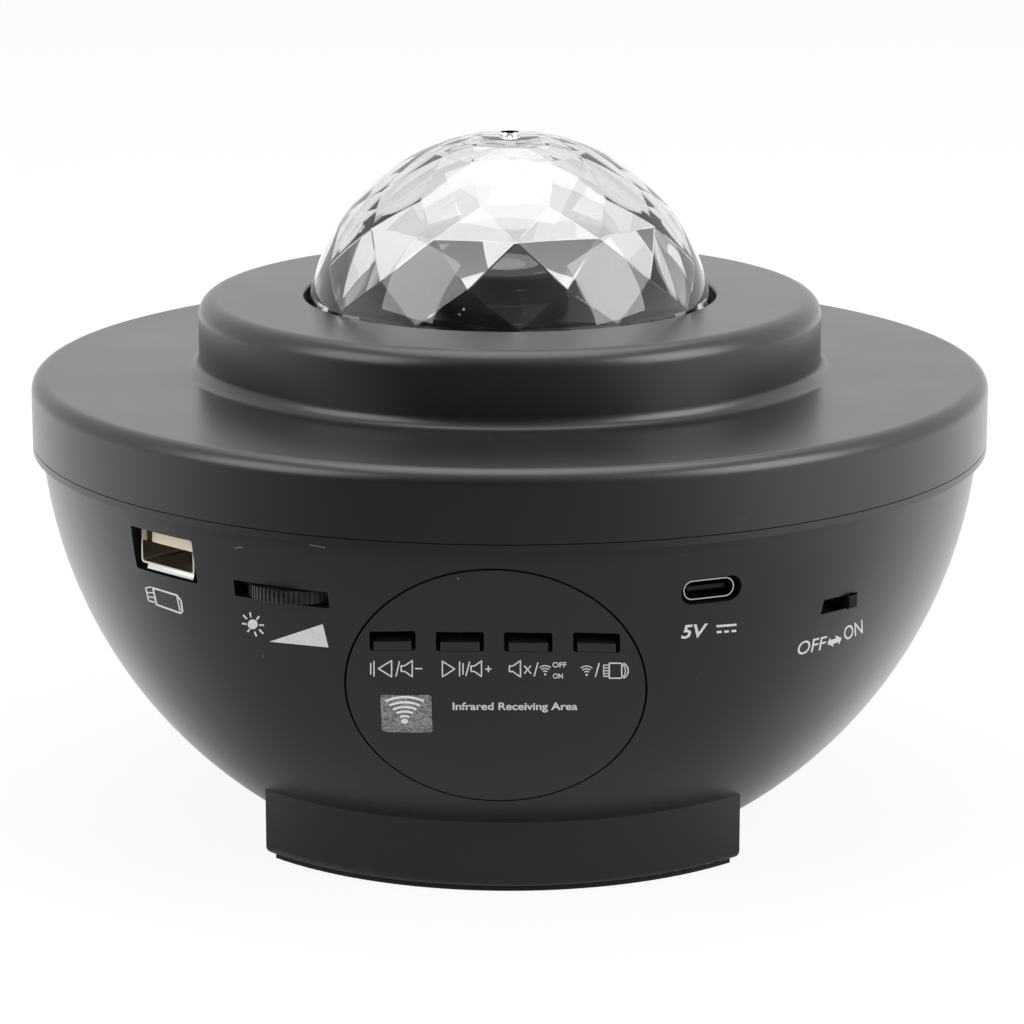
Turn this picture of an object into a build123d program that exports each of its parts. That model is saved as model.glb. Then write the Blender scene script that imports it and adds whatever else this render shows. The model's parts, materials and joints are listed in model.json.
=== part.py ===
"""Star night light projector: bowl-shaped housing, stepped lid and rotating clear dome.

Millimetres, +Z up. The origin is on the resting surface, on the vertical axis of the
bowl and dome. The front, with the control panel, faces -Y and +X is to its right.
"""
from build123d import *
from math import acos, asin, atan2, cos, degrees, pi, radians, sin, sqrt, tan
import os

# ---------------------------------------------------------------- driving dimensions
# Outer form
rim_radius = 84.0           # lid rim and bowl flange
rim_overhang = 1.4          # the rim stands out past the bowl's sphere
bowl_sink = 10.5            # the sphere's lowest point, below the resting surface
parting_z = 67.0            # lid meets bowl
parting_gap = 0.15
flange_height = 1.2
lid_height = 11.7
lid_fillet = 2.6
collar_radius = 54.7
collar_height = 12.9
collar_fillet = 3.3
collar_root_fillet = 2.3
opening_gap = 0.2           # around the dome, in the lid's opening
opening_lip_depth = 3.2
opening_lip_wall = 1.8
opening_edge = 0.5
wall = 2.4                  # bowl and lid wall
foot_front_radius = 57.2    # curved front and back of the foot
foot_half_width = 40.5      # flat left and right sides of the foot
foot_corner = 1.4
pad_thickness = 1.0
pad_inset = 1.6
pad_width = 6.0
plate_thickness = 2.4       # bottom plate, recessed into the foot
fit_gap = 0.2               # static pieces that drop into each other
running_gap = 0.05          # shafts and bearings

# Locating skirt under the lid
skirt_depth = 3.5
skirt_wall = 1.5
skirt_shelf = 2.0
skirt_panel_gap = 0.4

# Dome and its turntable
dome_radius = 36.0
dome_wall = 2.4
dome_lift = 2.2             # dome's base over the turntable's retainer
dome_rise = 4.0             # centre of the dome's sphere over its base
dome_flange_width = 2.6
dome_flange_thickness = 1.6
dome_hole_radius = 1.65
gear_module = 1.0
pinion_teeth = 12
gear_rim = 6.0              # from the turntable's bore to its pitch circle
gear_thickness = 3.5
gear_hub_height = 1.0
gear_hub_wall = 3.0
gear_flare_height = 2.0
gear_overlap = 1.0          # teeth reach this far into the turntable's ring
bearing_inset = 3.0         # bore of the turntable, inside the dome's radius
bearing_wall = 2.45
bearing_height = 5.0
retainer_overhang = 1.6
retainer_thickness = 1.2
retainer_gap = 0.1
retainer_side_gap = 0.3

# Chassis under the lid
chassis_margin = 3.0        # around the lid's posts
lid_post_height = 5.7
chassis_thickness = 2.0
chassis_thrust_height = 1.0
chassis_thrust_width = 2.4
lead_hole_radius = 4.0
lead_hole_reach = 48.0
lid_post_radius = 3.5
lid_post_circle = 60.0
lid_post_count = 4
screw_core_radius = 1.1
screw_shaft_radius = 1.0
screw_head_radius = 2.4
screw_head_height = 1.4
screw_length = 7.0

# Light tower
sink_gap = 0.1              # around the heat sink, in the lamp cover
sink_height = 8.4
sink_slot_width = 1.6
sink_slot_count = 12
sink_core_radius = 12.0
sink_base = 2.4
led_board_inset = 1.0
led_board_thickness = 1.6
led_count = 4
led_circle = 17.0
led_size = 5.0
led_height = 1.6
led_start = 45.0
lens_radius = 5.6
lens_base = 1.2
lens_height = 4.6
cover_gap = 2.4             # around the lamp cover, in the dome
cover_thickness = 1.6
cover_room = 5.0            # over the LED board
cover_window_gap = 0.6
cover_edge = 0.5
laser_radius = 5.0
laser_bore_depth = 3.0
laser_lens_radius = 2.5
laser_lens_thickness = 1.2
laser_rise = 6.8            # over the lamp cover
laser_cap_radius = 7.4
laser_cap_lift = 2.0        # over the lamp cover
laser_cap_height = 7.4
grating_radius = 3.6
grating_thickness = 0.6
beam_radius = 2.2

# Drive motor
motor_radius = 12.0
motor_height = 16.5
motor_shaft_radius = 1.5
motor_boss_radius = 4.5
motor_boss_height = 1.2
motor_ear_reach = 17.0
motor_ear_width = 7.0
motor_ear_thickness = 1.0
pinion_lift = 0.4
motor_shaft_depth = 3.0
motor_shaft_end = 0.4
motor_edge = 0.8

# Main circuit board
board_drop = 11.5           # below the parting line
board_thickness = 1.6
board_wall_gap = 2.3        # around the board's curved edge, at its underside
board_length = 35.8
board_notch_half_width = 24.5
board_notch_depth = 8.3
board_wheel_gap = 0.7
board_post_radius = 3.0
board_post_azimuth = 53.3
board_post_inset = 4.7      # from the board's curved edge
board_post_margin = 5.0     # from the outer posts to the board's straight sides
board_inner_post_x = 20.0
board_inner_post_inset = 10.0   # from the board's back edge

# Components on the main board: distances in from its back edge, or from its curved edge
radio_inset = 15.0
radio_width = 16.0
radio_length = 12.0
radio_board = 0.8
radio_can = 1.8
radio_margin = 3.0
back_chip_list = (          # x, inset, width, length, height
    (-31.0, 9.0, 8.0, 8.0, 1.0),
    (28.5, 10.0, 10.0, 5.0, 1.6),
    (-10.0, 4.0, 5.0, 4.0, 1.4),
    (10.0, 4.0, 5.0, 4.0, 1.4),
)
edge_chip_azimuth = 36.5
edge_chip_inset = 5.6
edge_chip_width = 6.0
edge_chip_height = 3.0
back_capacitor_x = 20.0
back_capacitor_inset = 20.0
edge_capacitor_places = ((-45.3, 13.9), (43.7, 13.6))   # azimuth, inset
capacitor_radius = 3.15
capacitor_height = 7.7
header_x = 31.0
header_inset = 2.8
header_width = 7.5
header_length = 4.0
header_height = 6.0
header_wall = 0.6

# Ports in the bowl wall: azimuths are measured from the front, positive to the right
usb_a_azimuth = -42.4
usb_a_width = 13.1
usb_a_height = 6.1
usb_a_depth = 14.0
usb_a_sheet = 0.35
usb_a_corner = 0.6
usb_a_foot_width = 1.2
usb_a_lift = 0.75             # the shell stands on short feet
usb_a_recess = 1.3
usb_a_window_side = 1.0
usb_a_window_height = 7.4
usb_a_window_drop = 0.5
usb_a_window_corner = 0.4
tongue_a_width = 11.1
tongue_a_thickness = 1.84
tongue_a_length = 8.8
tongue_a_top_gap = 0.6
tongue_a_recess = 1.5
tongue_a_block = 2.5
usb_c_azimuth = 25.2
usb_c_width = 9.0
usb_c_height = 3.2
usb_c_depth = 8.0
usb_c_sheet = 0.2
usb_c_recess = 1.2
usb_c_window_side = 0.85
usb_c_window_height = 4.4
tongue_c_width = 6.7
tongue_c_thickness = 0.7
tongue_c_length = 6.8
tongue_c_block = 1.4
wheel_azimuth = -25.3
wheel_radius = 8.5
wheel_thickness = 2.1
wheel_centre_above_board = 0.2
wheel_protrusion = 1.7
wheel_pin_radius = 1.5
wheel_cap_radius = 2.6
wheel_cap_height = 0.8
wheel_knurl_count = 64
wheel_knurl_depth = 0.3
wheel_knurl_width = 0.4
wheel_slot_width = 17.5
wheel_slot_height = 2.8
wheel_slot_corner = 0.3
pot_radius = 3.2
pot_gap = 0.3
pot_height = 2.2
pot_arm_width = 8.0
pot_arm_length = 14.0
pot_arm_thickness = 1.2
switch_azimuth = 44.4
switch_below_board = 3.2
switch_slot_width = 8.0
switch_slot_height = 2.6
switch_slot_corner = 0.2
switch_travel = 4.6
lever_width = 2.2
lever_height = 2.2
lever_protrusion = 1.0
lever_foot_width = 3.0
lever_foot_depth = 1.8
lever_gap = 0.1
switch_body_width = 9.6
switch_body_height = 4.2
switch_body_depth = 4.4
switch_body_recess = 4.0
switch_leg_width = 6.0
lever_edge = 0.35

# Control panel, a disc of the bowl's sphere
panel_tilt = 23.8
panel_radius = 24.1
panel_gap = 0.35
panel_flange = 2.4
panel_flange_thickness = 1.5
panel_flange_inset = 3.0
key_pitch = 10.9
key_row_radius = 110.5
key_row_u = 10.0            # hinge line above the panel's centre
key_opening_width = 7.7
key_opening_height = 3.6
key_opening_corner = 0.45
key_bar = 1.9               # free gap above a key
key_side_gap = 0.7
key_knuckle_radius = 0.8
key_knuckle_gap = 0.06
key_axis_depth = 1.4
key_root_gap = 0.1
key_press_height = 1.1
key_peg_radius = 0.7
key_peg_gap = 0.1
key_board_depth = 10.0      # front face of the key board below the sphere
key_board_thickness = 1.2
key_board_half_width = 22.0
key_board_low = -14.5
key_board_high = 13.5
key_board_post_radius = 2.0
key_board_posts = ((-20.0, 3.0), (20.0, 3.0), (-15.0, -11.5), (15.0, -11.5))
key_board_screw_depth = 3.6
tact_size = 4.5
tact_body_height = 2.0
tact_plunger_radius = 1.3
tact_plunger_height = 1.2
tact_plunger_seat = 0.5
tact_travel = 0.4
infrared_x = -14.4
infrared_u = -3.85
infrared_width = 5.4
infrared_length = 6.6
infrared_height = 2.6
infrared_dome = 1.9
window_width = 8.5
window_height = 8.4
window_slope = 9.0
window_thickness = 1.6
window_gap = 0.08

# Bottom screws
bottom_post_places = ((-28.0, -36.0), (28.0, -36.0), (-28.0, 36.0), (28.0, 36.0))
bottom_post_radius = 3.5
bottom_post_height = 9.6

# Speaker, firing down through the bottom plate
speaker_radius = 30.5
speaker_flange = 1.2
speaker_basket_height = 14.0
speaker_basket_top_radius = 15.0
speaker_sheet = 1.0
magnet_radius = 18.0
magnet_height = 8.0
pole_depth = 5.0
basket_foot_radius = 25.4
basket_rim = 2.0
basket_window = 16.0
surround_outer = 23.9
surround_inner = 20.5
surround_sheet = 0.5
surround_seat = 1.2
cone_depth = 7.5
cone_sheet = 0.5
coil_radius = 6.4
coil_length = 4.4
coil_sheet = 0.4
coil_gap = 0.8
cap_radius = 7.4
cap_rise = 2.4
speaker_screw_circle = 28.0
speaker_screw_depth = 1.8
grille_hole_radius = 1.2
grille_ring_step = 4.6
grille_first_radius = 5.0
grille_ring_count = 4

os.makedirs("parts", exist_ok=True)

# ---------------------------------------------------------------- derived places
bowl_radius = rim_radius - rim_overhang
bowl_centre_z = bowl_radius - bowl_sink
foot_bottom_z = pad_thickness
plate_top_z = foot_bottom_z + plate_thickness
bottom_post_top_z = plate_top_z + bottom_post_height
bowl_top_z = parting_z - parting_gap
flange_bottom_z = bowl_top_z - flange_height
lid_top_z = parting_z + lid_height
collar_top_z = lid_top_z + collar_height
opening_radius = dome_radius + opening_gap
chassis_top_z = lid_top_z - wall - lid_post_height
chassis_radius = lid_post_circle + lid_post_radius + chassis_margin
thrust_z = chassis_top_z + chassis_thrust_height
sleeve_top_z = thrust_z + bearing_height
retainer_top_z = sleeve_top_z + retainer_thickness
gear_bottom_z = thrust_z + running_gap
gear_top_z = gear_bottom_z + gear_thickness
bearing_radius = dome_radius - bearing_inset
ring_teeth = round(2 * (bearing_radius + gear_rim) / gear_module)
gear_distance = gear_module * (ring_teeth + pinion_teeth) / 2
dome_base_z = retainer_top_z + dome_lift
dome_centre_z = dome_base_z + dome_rise
dome_flange_radius = dome_radius + dome_flange_width
cover_radius = dome_radius - dome_wall - cover_gap
sink_radius = cover_radius - cover_thickness - sink_gap
led_board_radius = sink_radius - led_board_inset
led_board_z = chassis_top_z + sink_height
cover_top_z = led_board_z + led_board_thickness + cover_room
laser_top_z = cover_top_z + laser_rise
laser_cap_bottom_z = cover_top_z + laser_cap_lift
laser_cap_top_z = laser_cap_bottom_z + laser_cap_height
board_top_z = parting_z - board_drop
board_bottom_z = board_top_z - board_thickness
wheel_z = board_top_z + wheel_centre_above_board
switch_z = board_bottom_z - switch_below_board
usb_a_z = board_top_z + usb_a_lift + usb_a_height / 2
usb_c_z = board_top_z + usb_c_height / 2
bowl_centre = Vector(0, 0, bowl_centre_z)
panel_base = Plane(
    origin=bowl_centre,
    x_dir=(1, 0, 0),
    z_dir=(0, -cos(radians(panel_tilt)), -sin(radians(panel_tilt))),
)
key_board_front = bowl_radius - key_board_depth


def sphere_reach(z, inset=0.0):
    """Radius of the bowl's sphere, less an inset, at a height."""
    return sqrt((bowl_radius - inset) ** 2 - (z - bowl_centre_z) ** 2)


def sphere_low_z(reach, inset=0.0):
    """Height of the bowl's sphere, less an inset, at a distance from the axis."""
    return bowl_centre_z - sqrt((bowl_radius - inset) ** 2 - reach**2)


def polar(azimuth, reach, z):
    """Point at an azimuth from the front and a distance from the axis."""
    angle = radians(azimuth)
    return Vector(reach * sin(angle), -reach * cos(angle), z)


def facing_plane(azimuth, reach, z):
    """Plane that faces outwards at an azimuth, its X along the wall to the right."""
    angle = radians(azimuth)
    return Plane(
        origin=polar(azimuth, reach, z),
        x_dir=(cos(angle), sin(angle), 0),
        z_dir=(sin(angle), -cos(angle), 0),
    )


def level_plane(azimuth, reach, z):
    """Level plane at a place on the wall, its X along the wall and its Y inwards."""
    angle = radians(azimuth)
    return Plane(
        origin=polar(azimuth, reach, z),
        x_dir=(cos(angle), sin(angle), 0),
        z_dir=(0, 0, 1),
    )


def corner(sketch, x, y):
    """Corner of a sketch nearest to a place in its own plane."""
    return sketch.vertices().sort_by_distance((x, y, 0))[0]


def cap_height(x, edge, rise):
    """Height over its rim of a spherical cap, at a distance from its axis."""
    curve = (edge**2 + rise**2) / (2 * rise)
    return sqrt(curve**2 - x**2) - curve + rise


def save(builder, name):
    """Label a finished piece and write it as its own STEP file."""
    builder.part.label = name
    export_step(builder.part, f"parts/{name}.step")


# Outline of the main board and the places on it
board_radius = sphere_reach(board_bottom_z, wall) - board_wall_gap
board_back_y = board_length - board_radius
board_notch_y = board_notch_depth - board_radius
board_post_places = [
    polar(-board_post_azimuth, board_radius - board_post_inset, 0),
    polar(board_post_azimuth, board_radius - board_post_inset, 0),
    Vector(-board_inner_post_x, board_back_y - board_inner_post_inset, 0),
    Vector(board_inner_post_x, board_back_y - board_inner_post_inset, 0),
]
board_post_places = [(place.X, place.Y) for place in board_post_places]
board_half_width = board_post_places[1][0] + board_post_margin
radio_place = (0, board_back_y - radio_inset)
edge_chip = polar(edge_chip_azimuth, board_radius - edge_chip_inset, 0)
board_chip_list = [
    (x, board_back_y - inset, width, length, height)
    for x, inset, width, length, height in back_chip_list
]
board_chip_list.append((edge_chip.X, edge_chip.Y, edge_chip_width, edge_chip_width, edge_chip_height))
capacitor_places = [
    (-back_capacitor_x, board_back_y - back_capacitor_inset),
    (back_capacitor_x, board_back_y - back_capacitor_inset),
]
for azimuth, inset in edge_capacitor_places:
    spot = polar(azimuth, board_radius - inset, 0)
    capacitor_places.append((spot.X, spot.Y))
header_places = [(x, board_back_y - header_inset) for x in (-header_x, 0, header_x)]
grille_rings = [
    (grille_first_radius + ring * grille_ring_step, 6 * (ring + 1))
    for ring in range(grille_ring_count)
]

# Places of the keys, in the panel's own plane, from left to right
key_places = []
for step in (-1.5, -0.5, 0.5, 1.5):
    turn = step * key_pitch / key_row_radius
    place_x = key_row_radius * sin(turn)
    place_u = key_row_u - key_row_radius * (1 - cos(turn))
    key_places.append((place_x, place_u, turn))


def key_plane(place):
    """Plane on the sphere at a key's hinge line, facing straight out."""
    place_x, place_u, turn = place
    place_n = sqrt(bowl_radius**2 - place_x**2 - place_u**2)
    reach = panel_base.x_dir * place_x + panel_base.y_dir * place_u + panel_base.z_dir * place_n
    out = reach.normalized()
    along = panel_base.x_dir * cos(turn) - panel_base.y_dir * sin(turn)
    along = (along - out * along.dot(out)).normalized()
    return Plane(origin=bowl_centre + reach, x_dir=along, z_dir=out)


def key_side_plane(place):
    """Plane across a key's hinge line: its X runs up the key and its Y outwards."""
    face = key_plane(place)
    return Plane(origin=face.origin, x_dir=face.y_dir, z_dir=face.x_dir)


def key_outline(place, half_width, low, high):
    """Corner points of a key-like outline on its own plane, with upright sides."""
    face = key_plane(place)
    upright = face.z_dir.cross(panel_base.x_dir)
    slope = upright.dot(face.x_dir) / upright.dot(face.y_dir)
    return [
        (slope * low - half_width, low),
        (slope * low + half_width, low),
        (slope * high + half_width, high),
        (slope * high - half_width, high),
    ]


def key_press_point(place):
    """Point of a key's back, behind its pressing height, in the panel's own frame."""
    face = key_plane(place)
    depth = key_axis_depth + key_knuckle_radius
    point = face.origin + face.y_dir * key_press_height - face.z_dir * depth
    return panel_base.to_local_coords(point)


tact_top = key_board_front + tact_body_height + tact_plunger_height


def gear_outline(teeth, first_angle):
    """Corner points of a gear with straight flanks and running backlash."""
    pitch_radius = gear_module * teeth / 2
    root_radius = pitch_radius - 1.15 * gear_module
    tip_radius = pitch_radius + 0.85 * gear_module
    step = 2 * pi / teeth
    half_root = 0.31 * step
    half_tip = 0.12 * step
    points = []
    for tooth in range(teeth):
        middle = radians(first_angle) + tooth * step
        for radius, offset in (
            (root_radius, -half_root),
            (tip_radius, -half_tip),
            (tip_radius, half_tip),
            (root_radius, half_root),
        ):
            points.append((radius * cos(middle + offset), radius * sin(middle + offset)))
    return points


# ---------------------------------------------------------------- housing
foot_top_z = sphere_low_z(foot_front_radius) + wall / 2
foot_depth = 2 * foot_front_radius

with BuildPart() as foot_space:
    with BuildSketch(Plane.XY.offset(foot_bottom_z)):
        Circle(foot_front_radius - wall)
        Rectangle(2 * (foot_half_width - wall), foot_depth, mode=Mode.INTERSECT)
    extrude(amount=foot_top_z - foot_bottom_z)
    with Locations((0, 0, bowl_centre_z)):
        Sphere(bowl_radius, mode=Mode.SUBTRACT)
    with BuildSketch(Plane.XY.offset(foot_bottom_z)):
        Circle(foot_front_radius - wall)
        Rectangle(2 * (foot_half_width - wall), foot_depth, mode=Mode.INTERSECT)
    extrude(amount=plate_thickness)

with BuildPart() as foot_block:
    with BuildSketch(Plane.XY.offset(foot_bottom_z)):
        Circle(foot_front_radius)
        Rectangle(2 * foot_half_width, foot_depth, mode=Mode.INTERSECT)
    extrude(amount=foot_top_z - foot_bottom_z)
    fillet(foot_block.edges().group_by(Axis.Z)[0], foot_corner)

with BuildPart() as board_posts:
    with BuildSketch(Plane.XY.offset(foot_bottom_z)):
        with Locations(*board_post_places):
            Circle(board_post_radius)
    extrude(amount=board_bottom_z - foot_bottom_z)
    with Locations((0, 0, bowl_centre_z)):
        Sphere(bowl_radius - wall / 2, mode=Mode.INTERSECT)
    with Locations(*[(x, y, board_bottom_z) for x, y in board_post_places]):
        Hole(screw_core_radius, depth=screw_length + screw_head_height)

with BuildPart() as bottom_posts:
    with BuildSketch(Plane.XY.offset(plate_top_z)):
        with Locations(*bottom_post_places):
            Circle(bottom_post_radius)
    extrude(amount=bottom_post_top_z - plate_top_z)

with BuildPart() as lower_housing:
    with BuildSketch(Plane.XZ):
        with BuildLine():
            low = (sphere_reach(foot_bottom_z), foot_bottom_z)
            high = (sphere_reach(flange_bottom_z), flange_bottom_z)
            middle_z = (foot_bottom_z + flange_bottom_z) / 2
            Line((0, foot_bottom_z), low)
            ThreePointArc(low, (sphere_reach(middle_z), middle_z), high)
            Polyline(
                high,
                (rim_radius, flange_bottom_z),
                (rim_radius, bowl_top_z),
                (0, bowl_top_z),
                (0, foot_bottom_z),
            )
        make_face()
    revolve(axis=Axis.Z)
    add(foot_block.part)
    with Locations((0, 0, bowl_centre_z)):
        Sphere(bowl_radius - wall, mode=Mode.SUBTRACT)
    add(foot_space.part, mode=Mode.SUBTRACT)
    add(board_posts.part)
    add(bottom_posts.part)
    with BuildSketch(Plane.XY.offset(plate_top_z)):
        with Locations(*bottom_post_places):
            Circle(screw_core_radius)
    extrude(amount=screw_length, mode=Mode.SUBTRACT)
    with BuildSketch(panel_base.offset(key_board_front)):
        Circle(panel_radius + panel_gap)
    extrude(amount=key_board_depth + wall, mode=Mode.SUBTRACT)
    with BuildSketch(facing_plane(usb_a_azimuth, sphere_reach(usb_a_z), usb_a_z - usb_a_window_drop)):
        RectangleRounded(usb_a_width + 2 * usb_a_window_side, usb_a_window_height, usb_a_window_corner)
    extrude(amount=2 * wall, both=True, mode=Mode.SUBTRACT)
    with BuildSketch(facing_plane(usb_c_azimuth, sphere_reach(usb_c_z), usb_c_z)):
        SlotOverall(usb_c_width + 2 * usb_c_window_side, usb_c_window_height)
    extrude(amount=2 * wall, both=True, mode=Mode.SUBTRACT)
    with BuildSketch(facing_plane(wheel_azimuth, sphere_reach(wheel_z), wheel_z)):
        RectangleRounded(wheel_slot_width, wheel_slot_height, wheel_slot_corner)
    extrude(amount=2 * wall, both=True, mode=Mode.SUBTRACT)
    with BuildSketch(facing_plane(switch_azimuth, sphere_reach(switch_z), switch_z)):
        RectangleRounded(switch_slot_width, switch_slot_height, switch_slot_corner)
    extrude(amount=2 * wall, both=True, mode=Mode.SUBTRACT)
save(lower_housing, "lower_housing")

skirt_outer = sphere_reach(parting_z - skirt_depth, wall) - fit_gap
lid_under_z = lid_top_z - wall
collar_under_z = collar_top_z - wall

with BuildPart() as top_cover:
    with BuildSketch(Plane.XZ) as lid_section:
        with BuildLine():
            Polyline(
                (rim_radius, parting_z),
                (rim_radius, lid_top_z),
                (collar_radius, lid_top_z),
                (collar_radius, collar_top_z),
                (opening_radius, collar_top_z),
                (opening_radius, collar_top_z - opening_lip_depth),
                (opening_radius + opening_lip_wall, collar_top_z - opening_lip_depth),
                (opening_radius + opening_lip_wall, collar_under_z),
                (collar_radius - wall, collar_under_z),
                (collar_radius - wall, lid_under_z),
                (rim_radius - wall, lid_under_z),
                (rim_radius - wall, parting_z + skirt_shelf),
                (skirt_outer - skirt_wall, parting_z + skirt_shelf),
                (skirt_outer - skirt_wall, parting_z - skirt_depth),
                (skirt_outer, parting_z - skirt_depth),
                (skirt_outer, parting_z),
                (rim_radius, parting_z),
            )
        make_face()
        fillet(corner(lid_section, rim_radius, lid_top_z), lid_fillet)
        fillet(corner(lid_section, collar_radius, lid_top_z), collar_root_fillet)
        fillet(corner(lid_section, collar_radius, collar_top_z), collar_fillet)
        fillet(corner(lid_section, opening_radius, collar_top_z), opening_edge)
        fillet(corner(lid_section, collar_radius - wall, collar_under_z), collar_fillet - wall / 2)
        fillet(corner(lid_section, rim_radius - wall, lid_under_z), lid_fillet - wall / 2)
    revolve(axis=Axis.Z)
    with BuildSketch(Plane.XY.offset(chassis_top_z)):
        with PolarLocations(lid_post_circle, lid_post_count, start_angle=180 / lid_post_count):
            Circle(lid_post_radius)
            Circle(screw_core_radius, mode=Mode.SUBTRACT)
    extrude(amount=lid_under_z - chassis_top_z)
    with BuildSketch(panel_base):
        Circle(panel_radius + panel_flange + skirt_panel_gap)
    extrude(amount=bowl_radius + wall, mode=Mode.SUBTRACT)
save(top_cover, "top_cover")

speaker_spots = [
    (
        speaker_screw_circle * cos(2 * pi * (index + 0.5) / 4),
        speaker_screw_circle * sin(2 * pi * (index + 0.5) / 4),
    )
    for index in range(4)
]

with BuildPart() as bottom_plate:
    with BuildSketch(Plane.XY.offset(foot_bottom_z)):
        Circle(foot_front_radius - wall - fit_gap)
        Rectangle(2 * (foot_half_width - wall - fit_gap), foot_depth, mode=Mode.INTERSECT)
        Circle(grille_hole_radius, mode=Mode.SUBTRACT)
        for ring_radius, ring_count in grille_rings:
            with PolarLocations(ring_radius, ring_count):
                Circle(grille_hole_radius, mode=Mode.SUBTRACT)
    extrude(amount=plate_thickness)
    with BuildSketch(Plane.XY.offset(foot_bottom_z)):
        with Locations(*bottom_post_places):
            Circle(screw_shaft_radius + fit_gap)
    extrude(amount=plate_thickness, mode=Mode.SUBTRACT)
    with BuildSketch(Plane.XY.offset(foot_bottom_z)):
        with Locations(*bottom_post_places):
            Circle(screw_head_radius + fit_gap)
    extrude(amount=screw_head_height, mode=Mode.SUBTRACT)
    with BuildSketch(Plane.XY.offset(plate_top_z)):
        with Locations(*speaker_spots):
            Circle(screw_core_radius)
    extrude(amount=-speaker_screw_depth, mode=Mode.SUBTRACT)
save(bottom_plate, "bottom_plate")

with BuildPart() as foot_pad:
    with BuildSketch() as pad_outline:
        Circle(foot_front_radius - pad_inset)
        Rectangle(2 * (foot_half_width - pad_inset), foot_depth, mode=Mode.INTERSECT)
        offset(pad_outline.sketch, -pad_width, mode=Mode.SUBTRACT)
    extrude(amount=pad_thickness)
save(foot_pad, "foot_pad")


def screws(places, head_z, up, length=screw_length):
    """Pan-head screws at places on a level, their shafts going up or down from the heads."""
    way = 1 if up else -1
    with BuildPart() as group:
        with BuildSketch(Plane.XY.offset(head_z)):
            with Locations(*places):
                Circle(screw_head_radius)
        extrude(amount=-way * screw_head_height)
        with BuildSketch(Plane.XY.offset(head_z)):
            with Locations(*places):
                Circle(screw_shaft_radius)
        extrude(amount=way * length)
    return group


bottom_screws = screws(
    bottom_post_places, foot_bottom_z + screw_head_height, True, screw_length
)
save(bottom_screws, "bottom_screws")

# ---------------------------------------------------------------- turntable and dome
ledge_z = sleeve_top_z - retainer_gap
retainer_radius = bearing_radius + retainer_overhang
rotor_wide_bore = retainer_radius + retainer_side_gap
gear_root = gear_module * ring_teeth / 2 - 1.15 * gear_module

with BuildPart() as dome:
    with BuildSketch(Plane.XZ):
        with BuildLine():
            inner = dome_radius - dome_wall
            flange_z = dome_base_z + dome_flange_thickness
            rise = flange_z - dome_centre_z
            edge = (sqrt(dome_radius**2 - rise**2), flange_z)
            top = (dome_hole_radius, dome_centre_z + sqrt(dome_radius**2 - dome_hole_radius**2))
            half = radians(45)
            side = (dome_radius * sin(half), dome_centre_z + dome_radius * cos(half))
            top_in = (dome_hole_radius, dome_centre_z + sqrt(inner**2 - dome_hole_radius**2))
            side_in = (inner * sin(half), dome_centre_z + inner * cos(half))
            drop = dome_base_z - dome_centre_z
            foot_in = (sqrt(inner**2 - drop**2), dome_base_z)
            Polyline(foot_in, (dome_flange_radius, dome_base_z), (dome_flange_radius, flange_z), edge)
            ThreePointArc(edge, side, top)
            Line(top, top_in)
            ThreePointArc(top_in, side_in, foot_in)
        make_face()
    revolve(axis=Axis.Z)
save(dome, "dome")

with BuildPart() as dome_rotor:
    with BuildSketch(Plane.XZ):
        with BuildLine():
            Polyline(
                (bearing_radius, gear_bottom_z),
                (gear_root, gear_bottom_z),
                (gear_root, gear_top_z),
                (bearing_radius + gear_hub_wall, gear_top_z),
                (bearing_radius + gear_hub_wall, gear_top_z + gear_hub_height),
                (dome_flange_radius, gear_top_z + gear_hub_height + gear_flare_height),
                (dome_flange_radius, dome_base_z),
                (rotor_wide_bore, dome_base_z),
                (rotor_wide_bore, ledge_z),
                (bearing_radius, ledge_z),
                (bearing_radius, gear_bottom_z),
            )
        make_face()
    revolve(axis=Axis.Z)
    with BuildSketch(Plane.XY.offset(gear_bottom_z)):
        with BuildLine():
            Polyline(*gear_outline(ring_teeth, 90.0), close=True)
        make_face()
        Circle(gear_root - gear_overlap, mode=Mode.SUBTRACT)
    extrude(amount=gear_thickness)
save(dome_rotor, "dome_rotor")

with BuildPart() as rotor_retainer:
    with BuildSketch(Plane.XY.offset(sleeve_top_z)):
        Circle(retainer_radius)
        Circle(bearing_radius - bearing_wall, mode=Mode.SUBTRACT)
    extrude(amount=retainer_thickness)
save(rotor_retainer, "rotor_retainer")

# ---------------------------------------------------------------- chassis and motor
chassis_bottom_z = chassis_top_z - chassis_thickness
sleeve_radius = bearing_radius - running_gap
lid_screw_spots = [
    (
        lid_post_circle * cos(2 * pi * (index + 0.5) / lid_post_count),
        lid_post_circle * sin(2 * pi * (index + 0.5) / lid_post_count),
    )
    for index in range(lid_post_count)
]
motor_screw_spots = [(-motor_ear_reach, gear_distance), (motor_ear_reach, gear_distance)]

with BuildPart() as chassis:
    with BuildSketch(Plane.XY.offset(chassis_bottom_z)):
        Circle(chassis_radius)
        with Locations(*lid_screw_spots, *motor_screw_spots):
            Circle(screw_shaft_radius + fit_gap, mode=Mode.SUBTRACT)
        with Locations((0, gear_distance)):
            Circle(motor_boss_radius + fit_gap, mode=Mode.SUBTRACT)
        with Locations((-lead_hole_reach, 0), (lead_hole_reach, 0)):
            Circle(lead_hole_radius, mode=Mode.SUBTRACT)
    extrude(amount=chassis_thickness)
    with BuildSketch(Plane.XY.offset(chassis_top_z)):
        Circle(sleeve_radius + chassis_thrust_width)
        Circle(bearing_radius - bearing_wall, mode=Mode.SUBTRACT)
    extrude(amount=chassis_thrust_height)
    with BuildSketch(Plane.XY.offset(chassis_top_z)):
        Circle(sleeve_radius)
        Circle(bearing_radius - bearing_wall, mode=Mode.SUBTRACT)
    extrude(amount=sleeve_top_z - chassis_top_z)
save(chassis, "chassis")

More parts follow.
